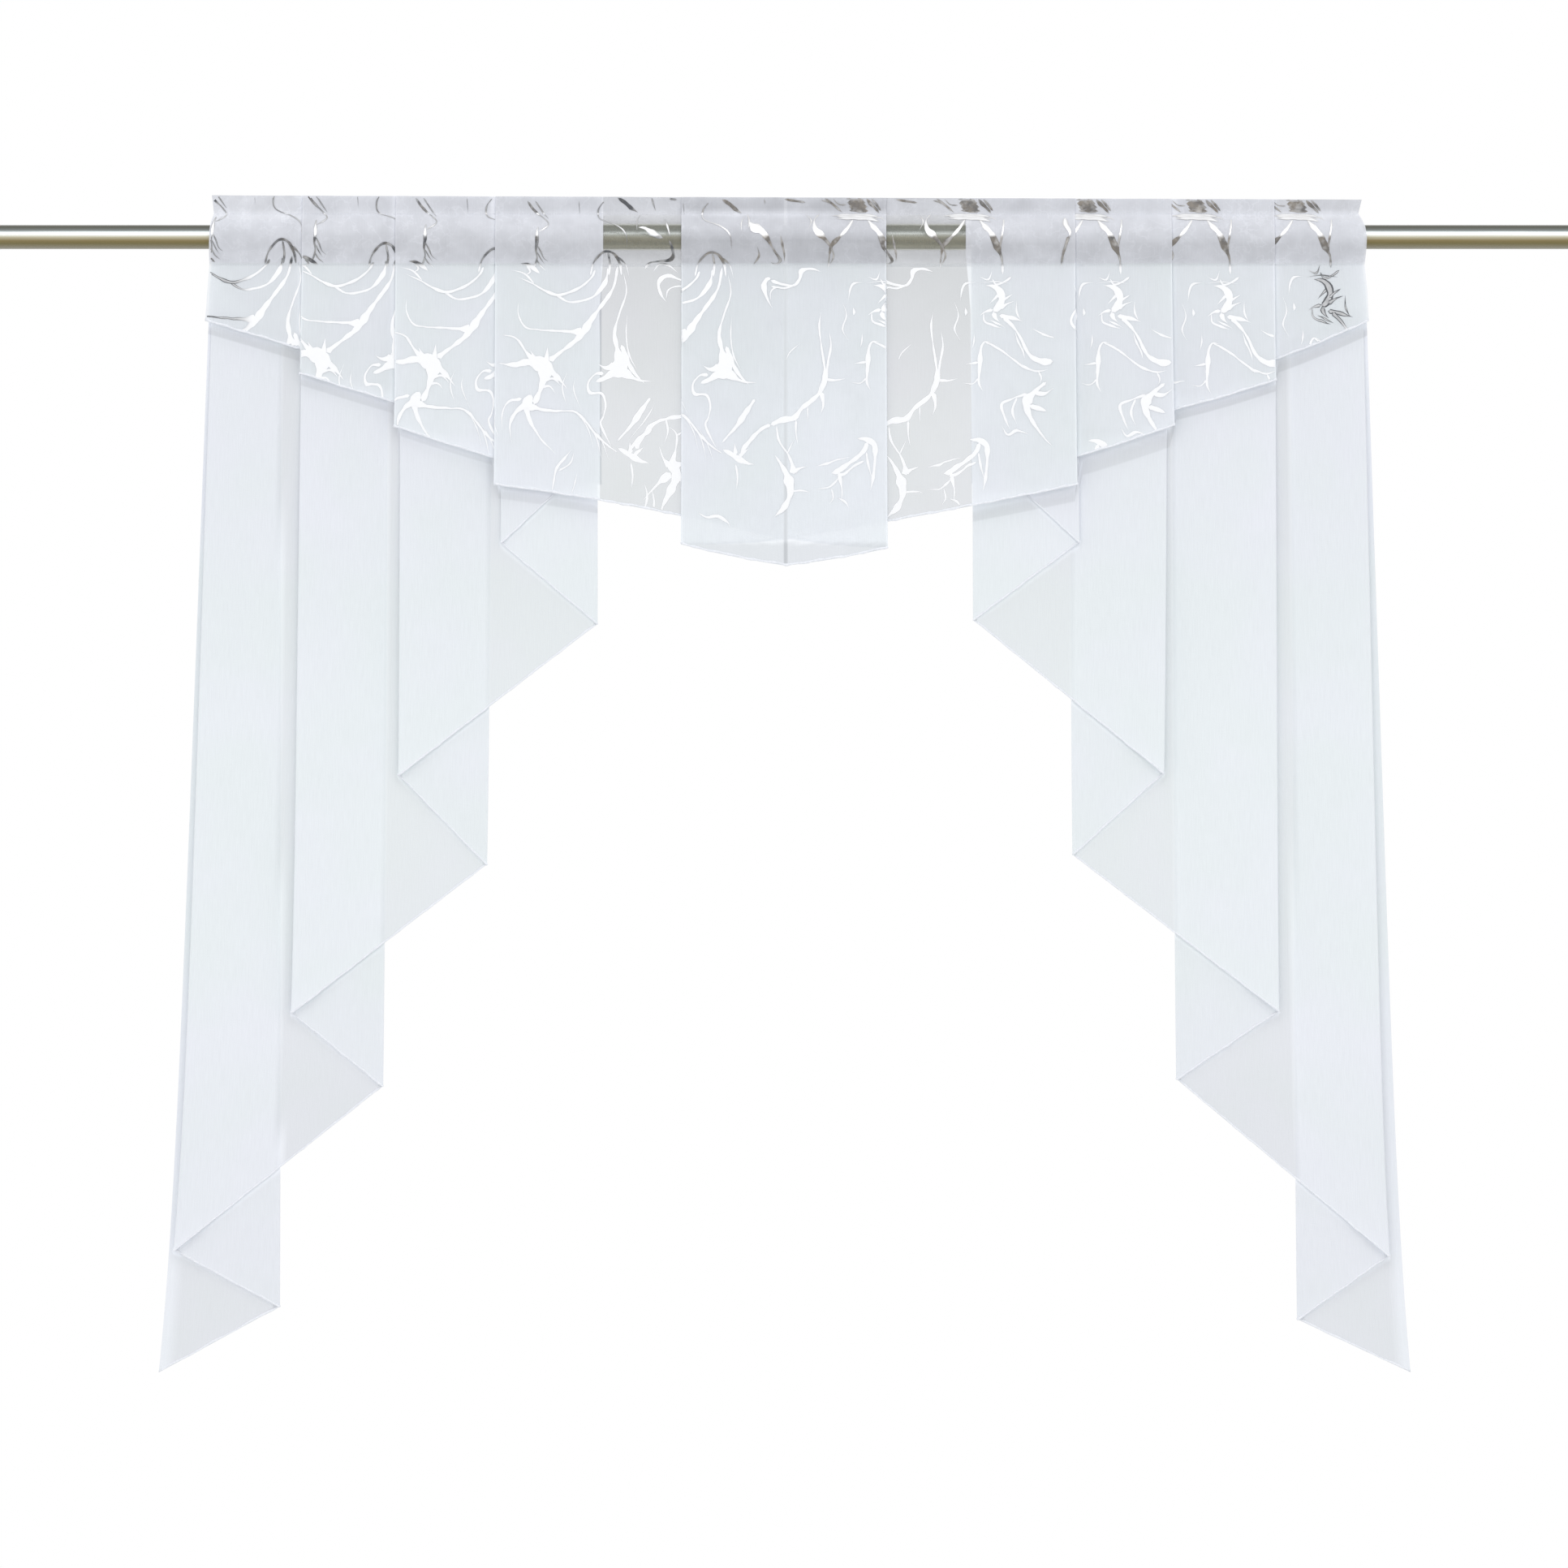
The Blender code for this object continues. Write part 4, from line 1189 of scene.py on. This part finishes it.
# The right part's own repeat has finer veins
veinsRight = [
    # heading: a brushed patch in the frill, a pale band under it, and the arch
    [(3, 6, 6), (12, 6.4, 8), (22, 6, 8)],
    [(5, 11, 7), (14, 11, 9), (24, 11, 8)],
    [(5, 15.4, 3), (14, 15.6, 6), (25, 16, 4)],
    [(2, 1.6, 2), (10, 1.4, 2), (20, 2.4, 3)],
    [(23, 1, 2), (27, 7, 6), (33, 14, 5), (36, 19, 0)],
    [(28, 1, 2), (33, 8, 4), (38, 16, 2)],
    [(-20, 1, 2), (-13, 7, 3), (-6, 14, 3), (-2, 18, 0)],
    [(-12, 1, 0), (-6, 8, 2), (2, 9, 2)],
    [(-13, 23, 2), (0, 21.4, 4), (12, 21.6, 5), (24, 21.8, 5), (35, 24, 2)],
    [(-9, 27, 0), (4, 26.4, 5), (16, 26.8, 6), (27, 27.4, 5), (36, 31, 2)],
    [(-8, 24, 3), (8, 24.2, 4), (22, 24.6, 4), (31, 26, 2)],
    [(30, 27, 2), (37, 25, 2.4), (42, 30, 0)],
    [(9, 28, 2), (4, 38, 4), (-3, 47, 5), (-11, 55, 5.6), (-14, 60, 4), (-15.5, 70, 2.4), (-16.5, 85, 1.6)],
    [(-26, 20, 1.4), (-31, 29, 2), (-30, 40, 7), (-24, 47, 8), (-17, 55, 4.4), (-13, 61, 3)],
    [(-14, 60, 3), (-11, 70, 2.4), (-16, 84, 0)],
    [(24, 28, 2), (29, 36, 6), (36, 45, 8), (40, 54, 10), (44, 64, 6), (47, 74, 3), (48, 92, 1.4)],
    [(49, 27, 2), (48.6, 38, 2.8), (46.6, 50, 2.4), (45, 60, 2)],
    [(-76, 57, 2), (-71, 66, 3), (-66, 76, 3.4), (-71, 81, 2.4), (-76, 78, 0)],
    [(112, 25, 3), (113, 35, 7), (117, 43, 4), (117, 50, 2)],
    [(116, 48, 3), (113, 57, 5), (110, 68, 3), (108, 84, 1.4)],
    [(-100, 20, 1), (-98, 30, 2.4), (-99, 40, 0)],
    [(-99, 31, 2), (-93, 38, 12), (-85, 43, 12), (-78, 53, 5), (-74, 61, 0)],
    [(-66, 46, 0), (-64, 57, 4), (-62, 68, 2), (-62, 78, 0)],
    [(-83, 2, 0), (-82, 5, 2.4), (-82, 8, 0)],
    [(-62, 2, 2), (-52, 4, 3.4), (-40, 6, 3.4)],
    [(-24, 3, 2), (-18, 5, 2.4), (-15, 8, 0)],
    [(-90, 58, 0), (-88, 70, 2.4), (-94, 82, 1.6)],
    [(-40, 20, 0), (-34, 30, 2), (-38, 42, 0)],
    # splash near the top
    [(24, 94, 0), (33, 97, 2.4), (37, 88, 0)],
    [(37, 96, 2), (41, 102, 2), (50, 99, 1.6), (57, 94, 2)],
    [(30, 103, 0), (38, 104, 3), (44, 108, 8), (47, 116, 9), (44, 124, 6), (38, 130, 5)],
    [(58, 112, 0), (50, 117, 3), (46, 121, 5)],
    [(60, 119, 0), (52, 122, 2), (44, 127, 4)],
    [(34, 122, 0), (40, 116, 2), (44, 112, 3)],
    [(24, 134, 0), (30, 130, 2), (38, 128, 5)],
    [(28, 131, 2), (29, 140, 1.6), (38, 144, 2.4), (47, 147, 0)],
    [(33, 138, 0), (42, 142, 2), (50, 146, 0)],
    [(38, 130, 5), (40, 136, 4), (45, 141, 0)],
    [(44, 134, 5), (56, 136, 4), (69, 140, 0)],
    [(48, 135, 4), (58, 145, 3), (66, 157, 2.6), (71, 168, 3), (77, 176, 5), (88, 181, 6), (99, 181, 5)],
    [(60, 150, 0), (63, 160, 2.4), (68, 170, 1.6), (70, 178, 0)],
    [(20, 100, 0), (10, 101, 2), (6, 107, 2), (4, 119, 0)],
    [(9, 126, 1.4), (10, 131, 2.4), (9, 134, 0)],
    [(22, 101, 0), (38, 99, 1.2), (56, 101, 0)],
    [(62, 118, 0), (62, 130, 2), (66, 139, 0)],
    [(78, 147, 0), (89, 153, 2.2), (101, 157, 2)],
    # hooked stem and the long curve beside it
    [(36, 162, 0), (29, 161, 2), (25, 168, 2.6), (24, 182, 4.6), (23, 196, 3), (23, 204, 2), (27, 212, 0)],
    [(29, 161, 2), (40, 166, 2), (52, 174, 2), (62, 182, 2), (72, 188, 2.4), (84, 191, 2), (94, 189, 0)],
    [(9, 184, 0), (23, 182, 3)],
    [(6, 203, 0), (16, 204, 1.6), (23, 198, 2)],
    [(18, 152, 0), (18, 160, 2), (16, 168, 0)],
    [(84, 191, 2), (87, 198, 1.4), (85, 204, 0)],
    # fan
    [(92, 202, 3), (80, 212, 5), (72, 222, 9), (73, 233, 7), (80, 246, 2.6), (90, 260, 2), (98, 268, 0)],
    [(74, 226, 8), (84, 229, 4), (92, 232, 2)],
    [(80, 213, 5), (90, 214, 3), (100, 208, 0)],
    [(72, 214, 3), (58, 219, 1.6), (46, 225, 2.6), (49, 238, 3), (54, 250, 0)],
    [(62, 218, 2), (57, 232, 2.4), (62, 247, 0)],
    # brush strokes lower down
    [(-14, 297, 0), (-8, 295, 5), (2, 288, 5), (12, 281, 3.4), (20, 273, 4), (23, 265, 7)],
    [(13, 261, 0), (22, 262, 7), (30, 267, 6), (31, 280, 3), (29, 300, 3), (26, 315, 0)],
    [(22, 275, 3), (24, 288, 2), (28, 303, 0)],
    [(20, 284, 2), (10, 289, 2), (0, 297, 3), (-8, 299, 5)],
    [(-6, 298, 5), (-3, 314, 1.4), (-4, 328, 0)],
    [(46, 247, 0), (52, 256, 2.4), (62, 252, 2.8), (74, 256, 0)],
    # middle panel's edge and the strip beside it
    [(-76, 98, 3), (-64, 102, 2.4), (-52, 103, 3), (-46, 96, 2.4), (-44, 88, 5), (-34, 86, 3),
     (-24, 89, 0)],
    [(-76, 104, 2), (-62, 106, 2), (-52, 103, 2)],
    [(-24, 130, 0), (-26, 145, 2), (-24, 165, 1.6), (-21, 185, 2.4), (-20, 198, 6), (-24, 212, 3)],
    [(-20, 200, 5), (-26, 214, 4), (-34, 222, 5), (-44, 230, 3), (-52, 240, 7), (-64, 242, 5),
     (-76, 247, 4)],
    [(-16, 150, 0), (-14, 165, 2), (-17, 182, 2), (-19, 197, 4)],
    [(-20, 200, 4), (-10, 201, 2), (1, 199, 0)],
    [(-24, 213, 4), (-22, 226, 2.6), (-25, 237, 0)],
    [(-60, 180, 0), (-56, 172, 2), (-46, 163, 0)],
    [(-70, 248, 2), (-68, 262, 2), (-62, 272, 1.6), (-58, 278, 2.4), (-54, 288, 2.4), (-52, 298, 9)],
    [(-52, 262, 0), (-59, 277, 1.8)],
    [(-50, 242, 3), (-50, 256, 1.6), (-48, 268, 0)],
    [(-38, 228, 2), (-38, 244, 0)],
    [(-72, 278, 0), (-64, 290, 4), (-58, 303, 9), (-56, 318, 6), (-62, 332, 6), (-72, 342, 0)],
    [(-54, 296, 6), (-46, 292, 3), (-39, 290, 0)],
    [(-56, 316, 3), (-44, 315, 1.4), (-34, 317, 0)],
    [(-30, 290, 0), (-18, 287, 2.4), (-8, 283, 1.6), (6, 280, 0)],
    [(-32, 313, 0), (-18, 312, 1.8), (-10, 306, 1.6), (-4, 298, 0)],
    [(-14, 312, 1.6), (-12, 322, 1.4), (-16, 329, 0)],
    [(-8, 322, 0), (0, 326, 2.4), (4, 333, 0)],
    [(-2, 120, 0), (2, 134, 1.4), (-2, 148, 1.4), (4, 160, 0)],
    [(-76, 96, 3), (-80, 97, 4.6), (-83, 103, 5), (-81, 113, 3), (-77, 122, 1.4), (-74, 127, 0)],
    [(-60, 107, 0), (-70, 105, 1.6), (-76, 110, 2), (-76, 119, 0)],
    [(-76, 247, 4), (-86, 252, 4), (-96, 262, 3.4), (-104, 272, 5), (-108, 282, 0)],
    # between the shown panels
    [(120, 100, 0), (126, 120, 1.8), (118, 140, 2.4), (130, 158, 1.6), (126, 180, 0)],
    [(150, 130, 0), (156, 150, 2), (148, 170, 3), (158, 190, 2), (152, 214, 0)],
    [(148, 170, 3), (136, 178, 1.4), (128, 196, 0)],
]


def veinRibbon(places, number):
    # smooth curve through the places (Catmull-Rom), and on it three points across the vein's uneven width
    places = np.array(places, float)
    length = np.linalg.norm(np.diff(places[:, :2], axis=0), axis=1).sum()
    count = max(int(length / foilSettings["step"]), 4) + 1
    knots = np.concatenate((2 * places[:1] - places[1:2], places, 2 * places[-1:] - places[-2:-1]))
    way = np.linspace(0, len(places) - 1, count)
    at = np.minimum(way.astype(int), len(places) - 2)
    t = (way - at)[:, None]
    a, b, c, d = (knots[at + k] for k in range(4))
    curve = 0.5 * (2 * b + (c - a) * t + (2 * a - 5 * b + 4 * c - d) * t**2 + (3 * b - a - 3 * c + d) * t**3)
    line = curve[:, :2]
    width = np.interp(way, np.arange(len(places)), places[:, 2])
    run = np.concatenate([[0], np.cumsum(np.linalg.norm(np.diff(line, axis=0), axis=1))])
    along = np.gradient(line, axis=0)
    along /= np.linalg.norm(along, axis=1, keepdims=True)
    normal = np.stack([-along[:, 1], along[:, 0]], axis=1)
    swells = [(size, length, number * start, 0.0, 1.0) for size, length, start in foilSettings["swell"]]
    uneven = waves(run, swells, 1.0)
    headingEnd, blend = foilSettings["headingDown"]
    uneven *= 1 - (1 - foilSettings["headingWidth"]) * smooth((headingEnd - line[:, 1]) / blend)
    uneven *= np.clip(np.minimum(run, run[-1] - run) / foilSettings["cap"], 0, 1) ** 0.5
    across = np.array([-1.0, 0.0, 1.0])[:, None, None]
    return line + normal * (width * uneven / 2)[:, None] * across


foilShade = {
    "blend": 3.0,  # round the lower seam
    # painted reflection: the pocket's upper half is painted bright as if it mirrored the light, from this
    # height up to the seam
    "litFrom": -1.5,
    "litBlends": (4.0, 2.0),
    "litShare": 0.86,
    # small painted glints in the heading, where two ripples meet. Each has a length across and one down
    "ripples": ((19.0, 6.0), (3.3, -9.0)),
    "glints": (2, 0.6, 0.3),  # size, threshold and share
    # the outer parts of the hang are darker, from these distances left and right and above this height
    "outerFrom": (554, 535),
    "outerLow": -100,
    "outerBlends": (22, 10),
    "outerShare": 0.5,
    "rim": 0.85,
    "rimLit": (0.2, 0.5),  # how much the light takes off it, left of the middle part and elsewhere
    "middle": -110,
    "warmBlend": 40,
    "thin": (1.2, 1.6, 0.9),  # thin veins take their rim's darkness: width, blend and share
    "bold": 3.5,  # from this width a vein is as dark as any
}


def foilTone(x, z):
    # how dark the foil looks, and how dark its rim, as painted reflection: a dark room in the heading, the
    # light on the panels
    inHeading = smooth((z - heading["lowerSeam"] + 1) / foilShade["blend"])
    rise, end = foilShade["litBlends"]
    lit = smooth((z - foilShade["litFrom"]) / rise) * (1 - smooth((z - heading["upperSeam"]) / end))
    ripple = 1.0
    for across, down in foilShade["ripples"]:
        ripple = ripple * np.sin(x / across + z / down)
    size, threshold, share = foilShade["glints"]
    dark = inHeading * (1 - foilShade["litShare"] * lit) * (1 - share * smooth(ripple * size - threshold))
    sideways, upwards = foilShade["outerBlends"]
    outer = smooth((np.abs(x) - np.where(x < 0, *foilShade["outerFrom"])) / sideways)
    outer = outer * smooth((z - foilShade["outerLow"]) / upwards)
    dark = np.maximum(dark, foilShade["outerShare"] * outer * (1 - inHeading))
    litOff = lit * np.where(x < foilShade["middle"], *foilShade["rimLit"])
    rim = foilShade["rim"] * inHeading * (1 - litOff)
    return dark, np.maximum(outer * (1 - inHeading), rim)


def repeats(veins, place, low, high):
    # a drawing's ribbons in each of its repeats, kept where their middles lie between two places along the
    # cloth: flat points, faces, lift, width and rim
    flat, faces, lifts, widths, rims, start = [], [], [], [], [], 0
    step, layers = foilSettings["layer"]
    shiftFrom, blend = foilSettings["shiftDown"]
    for number, vein in enumerate(veins):
        ribbon = veinRibbon(vein, number)
        for shift in foilSettings[place]:
            if low <= ribbon[1, :, 0].mean() + shift[0] < high:
                points = (ribbon + shift[:2]).reshape(-1, 2)
                points[:, 1] += shift[2] * smooth((points[:, 1] - shiftFrom) / blend)
                flat.append(points)
                faces.append(gridFaces(3, ribbon.shape[1]) + start)
                lifts.append(np.full(len(points), foilSettings["lift"] + step * (number % layers)))
                widths.append(np.tile(np.linalg.norm(ribbon[2] - ribbon[0], axis=-1), 3))
                rims.append(np.repeat([1.0, 0.0, 1.0], ribbon.shape[1]))
                start += len(points)
    return [np.concatenate(parts) for parts in (flat, faces, lifts, widths, rims)]


def clothCell(u, v):
    # the valance's grid cell under each place along the cloth and down it: its row, its column, the place's
    # shares down and across that cell, and its share of the hang
    rows, columns = valanceDown.shape
    column = np.interp(u, valanceAcross, np.arange(columns))
    left = np.clip(column.astype(int), 0, columns - 2)
    across = column - left
    seamRow = valance["frillRows"] + valance["pocketRows"] - 2
    levels = valanceDown[: seamRow + 1, left[0]]
    hemDown = valanceDown[-1, left] * (1 - across) + valanceDown[-1, left + 1] * across
    hang = np.clip((v - levels[-1]) / (hemDown - levels[-1]), 0, None)
    hangRow = seamRow + (1 - (1 - np.minimum(hang, 1)) ** (1 / heading["rowPower"])) * valance["hangRows"]
    row = np.where(v > levels[-1], hangRow, np.interp(v, levels, np.arange(seamRow + 1)))
    above = np.clip(row.astype(int), 0, rows - 2)
    return above, left, row - above, across, hang


def mixCorners(array, above, left, fall, across):
    # the mean of the values at a cell's four corners, each by how near the place lies to it
    mean = 0.0
    for right, acrossShare in ((0, 1 - across), (1, across)):
        for lower, downShare in ((0, 1 - fall), (1, fall)):
            mean = mean + array[above + lower, left + right].T * downShare * acrossShare
    return mean.T


def unitLong(vectors):
    # each vector over its own length
    return vectors / np.maximum(np.linalg.norm(vectors, axis=-1, keepdims=True), 1e-9)


def foilValues(points, width, rim):
    # what the finish reads at each point. Thin veins are less dark than wide ones, apart from their rim
    x, z = points[:, 0], points[:, 2]
    dark, darkRim = foilTone(x, z)
    bold = foilSettings["thinDark"] + (1 - foilSettings["thinDark"]) * smooth(width / foilShade["bold"])
    thinFrom, thinBlend, thinShare = foilShade["thin"]
    thin = 1 - smooth((width - thinFrom) / thinBlend)
    inHeading = smooth((z - heading["lowerSeam"]) / foilShade["blend"])
    warm = smooth((x - foilShade["middle"]) / foilShade["warmBlend"]) * inHeading - (1 - inHeading)
    dark = np.maximum(dark * bold, darkRim * thin * thinShare)
    return {"dark": dark, "darkRim": darkRim, "rim": rim, "warm": warm}


def makeFoil():
    # both drawings' ribbons laid on the valance, each point lifted off it along the cloth's normal
    border = foilSettings["border"]
    left, right = repeats(veinsLeft, "left", -np.inf, border), repeats(veinsRight, "right", border, np.inf)
    right[1] = right[1] + len(left[0])
    flat, faces, lift, width, rim = (np.concatenate(pair) for pair in zip(left, right))
    u, v = flat[:, 0] * foilSettings["stretch"], flat[:, 1]
    *cell, hang = clothCell(u, v)
    normals = unitLong(np.cross(np.gradient(valancePoints, axis=0), np.gradient(valancePoints, axis=1)))
    points = mixCorners(valancePoints, *cell) + unitLong(mixCorners(normals, *cell)) * lift[:, None]
    sides, top, low = foilSettings["inner"]
    onCloth = (u >= sides) & (u <= valanceAcross[-1] - sides) & (v >= top) & (hang < low)
    faces = faces[onCloth[faces].all(axis=1)]
    used = np.zeros(len(points), bool)
    used[faces] = True
    faces = (np.cumsum(used) - 1)[faces]
    values = foilValues(points[used], width[used], rim[used])
    return makePiece("marble_print", points[used] * mm, faces, silverFoil, None, values)


foilLook = {
    "bright": (0.97, 0.98, 1.0),
    # colours of the darkened foil, which in the heading is a painted reflection
    "cool": (0.115, 0.12, 0.13),
    "warm": (0.30, 0.27, 0.235),
    "metallic": 0.85,
    "roughness": 0.32,
    # noises in waves to a metre, each with its detail
    "patches": (190.0, 2.0),
    "patchShare": 0.8,
    "warmth": (110.0, 2.0),
    "warmSpread": (1.6, 0.7, 0.5),  # its spread, what is taken off, and the share of the side's own warmth
    "grain": (900.0, 2.0),
    "grainHeight": 0.00008,
    "rim": (0.25, 0.75),
}


def makeSilverFoil():
    # bright foil whose darkness (painted reflection in the heading), dark rim and warmth come from the mesh,
    # with soft patches
    finish = Finish("silverFoil", Metallic=foilLook["metallic"], Roughness=foilLook["roughness"])
    place, dark = finish.place(), finish.attribute("dark")
    patches = finish.noise(place, *foilLook["patches"]) - 0.5
    rim = finish.eased(finish.attribute("rim"), *foilLook["rim"]) * finish.attribute("darkRim")
    share = (dark + patches * dark * foilLook["patchShare"]).math("MAXIMUM", rim)
    spread, less, bySide = foilLook["warmSpread"]
    warmth = finish.noise(place, *foilLook["warmth"]) * spread - less + finish.attribute("warm") * bySide
    shaded = finish.mixColour(warmth, foilLook["cool"], foilLook["warm"])
    finish.wire("Base Color", finish.mixColour(share, foilLook["bright"], shaded))
    finish.bump(finish.noise(place, *foilLook["grain"]), foilLook["grainHeight"])
    return finish.material


silverFoil = makeSilverFoil()
marblePrint = makeFoil()
print("print made", len(marblePrint.data.polygons))


# the rod

rodSettings = {
    "half": 850.0,
    "chamfer": 1.5,
    "around": 96,
    "along": (41, 20.0),  # rings between the chamfers, and how far from the ends they begin
    "tip": 0.01,  # the end faces' inner radius
    "sharpAngle": 35,
    "brushed": ((14.0, 1500.0, 1500.0), 3.0),  # waves to a metre and detail
    "brushedShift": 0.05,
    "grain": (0.08, (0.62, 0.62, 0.60)),
    "roughness": (0.24, 0.16),  # the least, and how much more where the brushing is light
    "grainHeight": 0.00004,
    # painted reflection bands, from the underside (0) to the top (1)
    "reflectionBands": [
        (0.05, (0.28, 0.26, 0.20)),  # greyer towards the underside
        (0.22, (0.18, 0.15, 0.06)),  # dark bronze
        (0.34, (0.27, 0.21, 0.09)),  # bronze
        (0.48, (0.58, 0.54, 0.40)),  # pale bronze
        (0.62, (0.95, 1.0, 1.0)),  # the painted highlight band
        (0.75, (0.20, 0.22, 0.22)),  # dark steel
        (0.90, (0.09, 0.09, 0.07)),  # darkest near the top
    ],
}


def makeBrushedSteel():
    # painted reflection in the base colour by height: cool above, a bright highlight band a third of the way
    # down, bronze below, as if the bar mirrored its room
    finish = Finish("brushedSteel", Metallic=1.0)
    place = finish.place()
    height = finish.node("ShaderNodeSeparateXYZ", None, {0: place})[2]
    share = height * (1 / (2 * heading["rodRadius"] * mm)) + 0.5
    brushed = finish.noise(place, *rodSettings["brushed"])
    colour = finish.ramp(share + (brushed - 0.5) * rodSettings["brushedShift"], rodSettings["reflectionBands"])
    grain, grainColour = rodSettings["grain"]
    finish.wire("Base Color", finish.mixColour(brushed * grain, colour, grainColour))
    least, more = rodSettings["roughness"]
    finish.wire("Roughness", least + brushed * more)
    finish.bump(brushed, rodSettings["grainHeight"])
    return finish.material


def makeRod():
    # a circle carried along X, drawn in at the chamfers and closed at the ends
    radius, half, chamfer = heading["rodRadius"], rodSettings["half"], rodSettings["chamfer"]
    count, inset = rodSettings["along"]
    x = np.concatenate([[-half, -half, -half + chamfer], np.linspace(-half + inset, half - inset, count)])
    x = np.concatenate([x, [half - chamfer, half, half]])
    girth = np.full(len(x), radius)
    girth[[1, -2]] = radius - chamfer
    girth[[0, -1]] = rodSettings["tip"]
    angle = np.linspace(0, 2 * np.pi, rodSettings["around"], endpoint=False)[:, None]
    points = np.stack([x + 0 * angle, np.cos(angle) * girth, np.sin(angle) * girth], axis=-1)
    faces = gridFaces(len(angle), len(x), wrapRows=True)
    piece = makePiece("rod_bar", points * mm, faces, makeBrushedSteel())
    piece.data.set_sharp_from_angle(angle=math.radians(rodSettings["sharpAngle"]))
    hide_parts("rod")


makeRod()
print("rod made")


# floor, light and world

roomSettings = {
    "floor": -1.62,
    "floorHalf": 1.55,
    "floorColours": ((0.82, 0.82, 0.81), (0.87, 0.87, 0.86)),
    "floorClouds": (3.0, 2.0),
    "floorRoughness": 0.7,
    "sky": [(0.0, (0.80,) * 3), (0.42, (0.92,) * 3), (0.55, (1.0,) * 3), (1.0, (1.08,) * 3)],
    "keyPower": 26.0,
    "keyPlace": (0.0, -3.0, 2.6),
    "keySize": 2.4,
    "keyAim": (0.0, 0.0, -0.5),
}


def makeRoom():
    # a square floor far below the tips, and one broad light above the front
    half, level = roomSettings["floorHalf"], roomSettings["floor"]
    mesh = bpy.data.meshes.new("floor")
    corners = [(-half, -half, level), (half, -half, level), (half, half, level), (-half, half, level)]
    mesh.from_pydata(corners, [], [(0, 1, 2, 3)])
    finish = Finish("floorPaint", Roughness=roomSettings["floorRoughness"])
    clouds = finish.noise(finish.place(), *roomSettings["floorClouds"])
    finish.wire("Base Color", finish.mixColour(clouds, *roomSettings["floorColours"]))
    mesh.materials.append(finish.material)
    floor = bpy.data.objects.new("floor", mesh)
    bpy.context.scene.collection.objects.link(floor)

    data = bpy.data.lights.new("key", "AREA")
    data.energy = roomSettings["keyPower"]
    data.size = roomSettings["keySize"]
    key = bpy.data.objects.new("key", data)
    key.location = roomSettings["keyPlace"]
    aim = Vector(roomSettings["keyAim"]) - key.location
    key.rotation_euler = aim.to_track_quat("-Z", "Y").to_euler()
    bpy.context.scene.collection.objects.link(key)


def makeWorld():
    # soft light from all round, brighter from above; the camera sees plain white behind the curtain
    world = bpy.data.worlds.new("studio")
    bpy.context.scene.world = world
    world.use_nodes = True
    tree = world.node_tree
    tree.nodes.clear()
    way = addNode(tree, "ShaderNodeTexCoord")[0]
    up = addNode(tree, "ShaderNodeSeparateXYZ", None, {0: way})[2]
    sky = addNode(tree, "ShaderNodeValToRGB", {"stops": roomSettings["sky"]}, {0: up * 0.5 + 0.5})[0]
    light = addNode(tree, "ShaderNodeBackground", None, {0: sky, 1: 1.0})[0]
    white = addNode(tree, "ShaderNodeBackground", None, {0: (1, 1, 1, 1), 1: 1.0})[0]
    seen = addNode(tree, "ShaderNodeLightPath")[0]
    both = addNode(tree, "ShaderNodeMixShader", None, {0: seen, 1: light, 2: white})[0]
    addNode(tree, "ShaderNodeOutputWorld", None, {0: both})
    bpy.context.scene.view_settings.view_transform = "Standard"


makeRoom()
makeWorld()
print("room made")
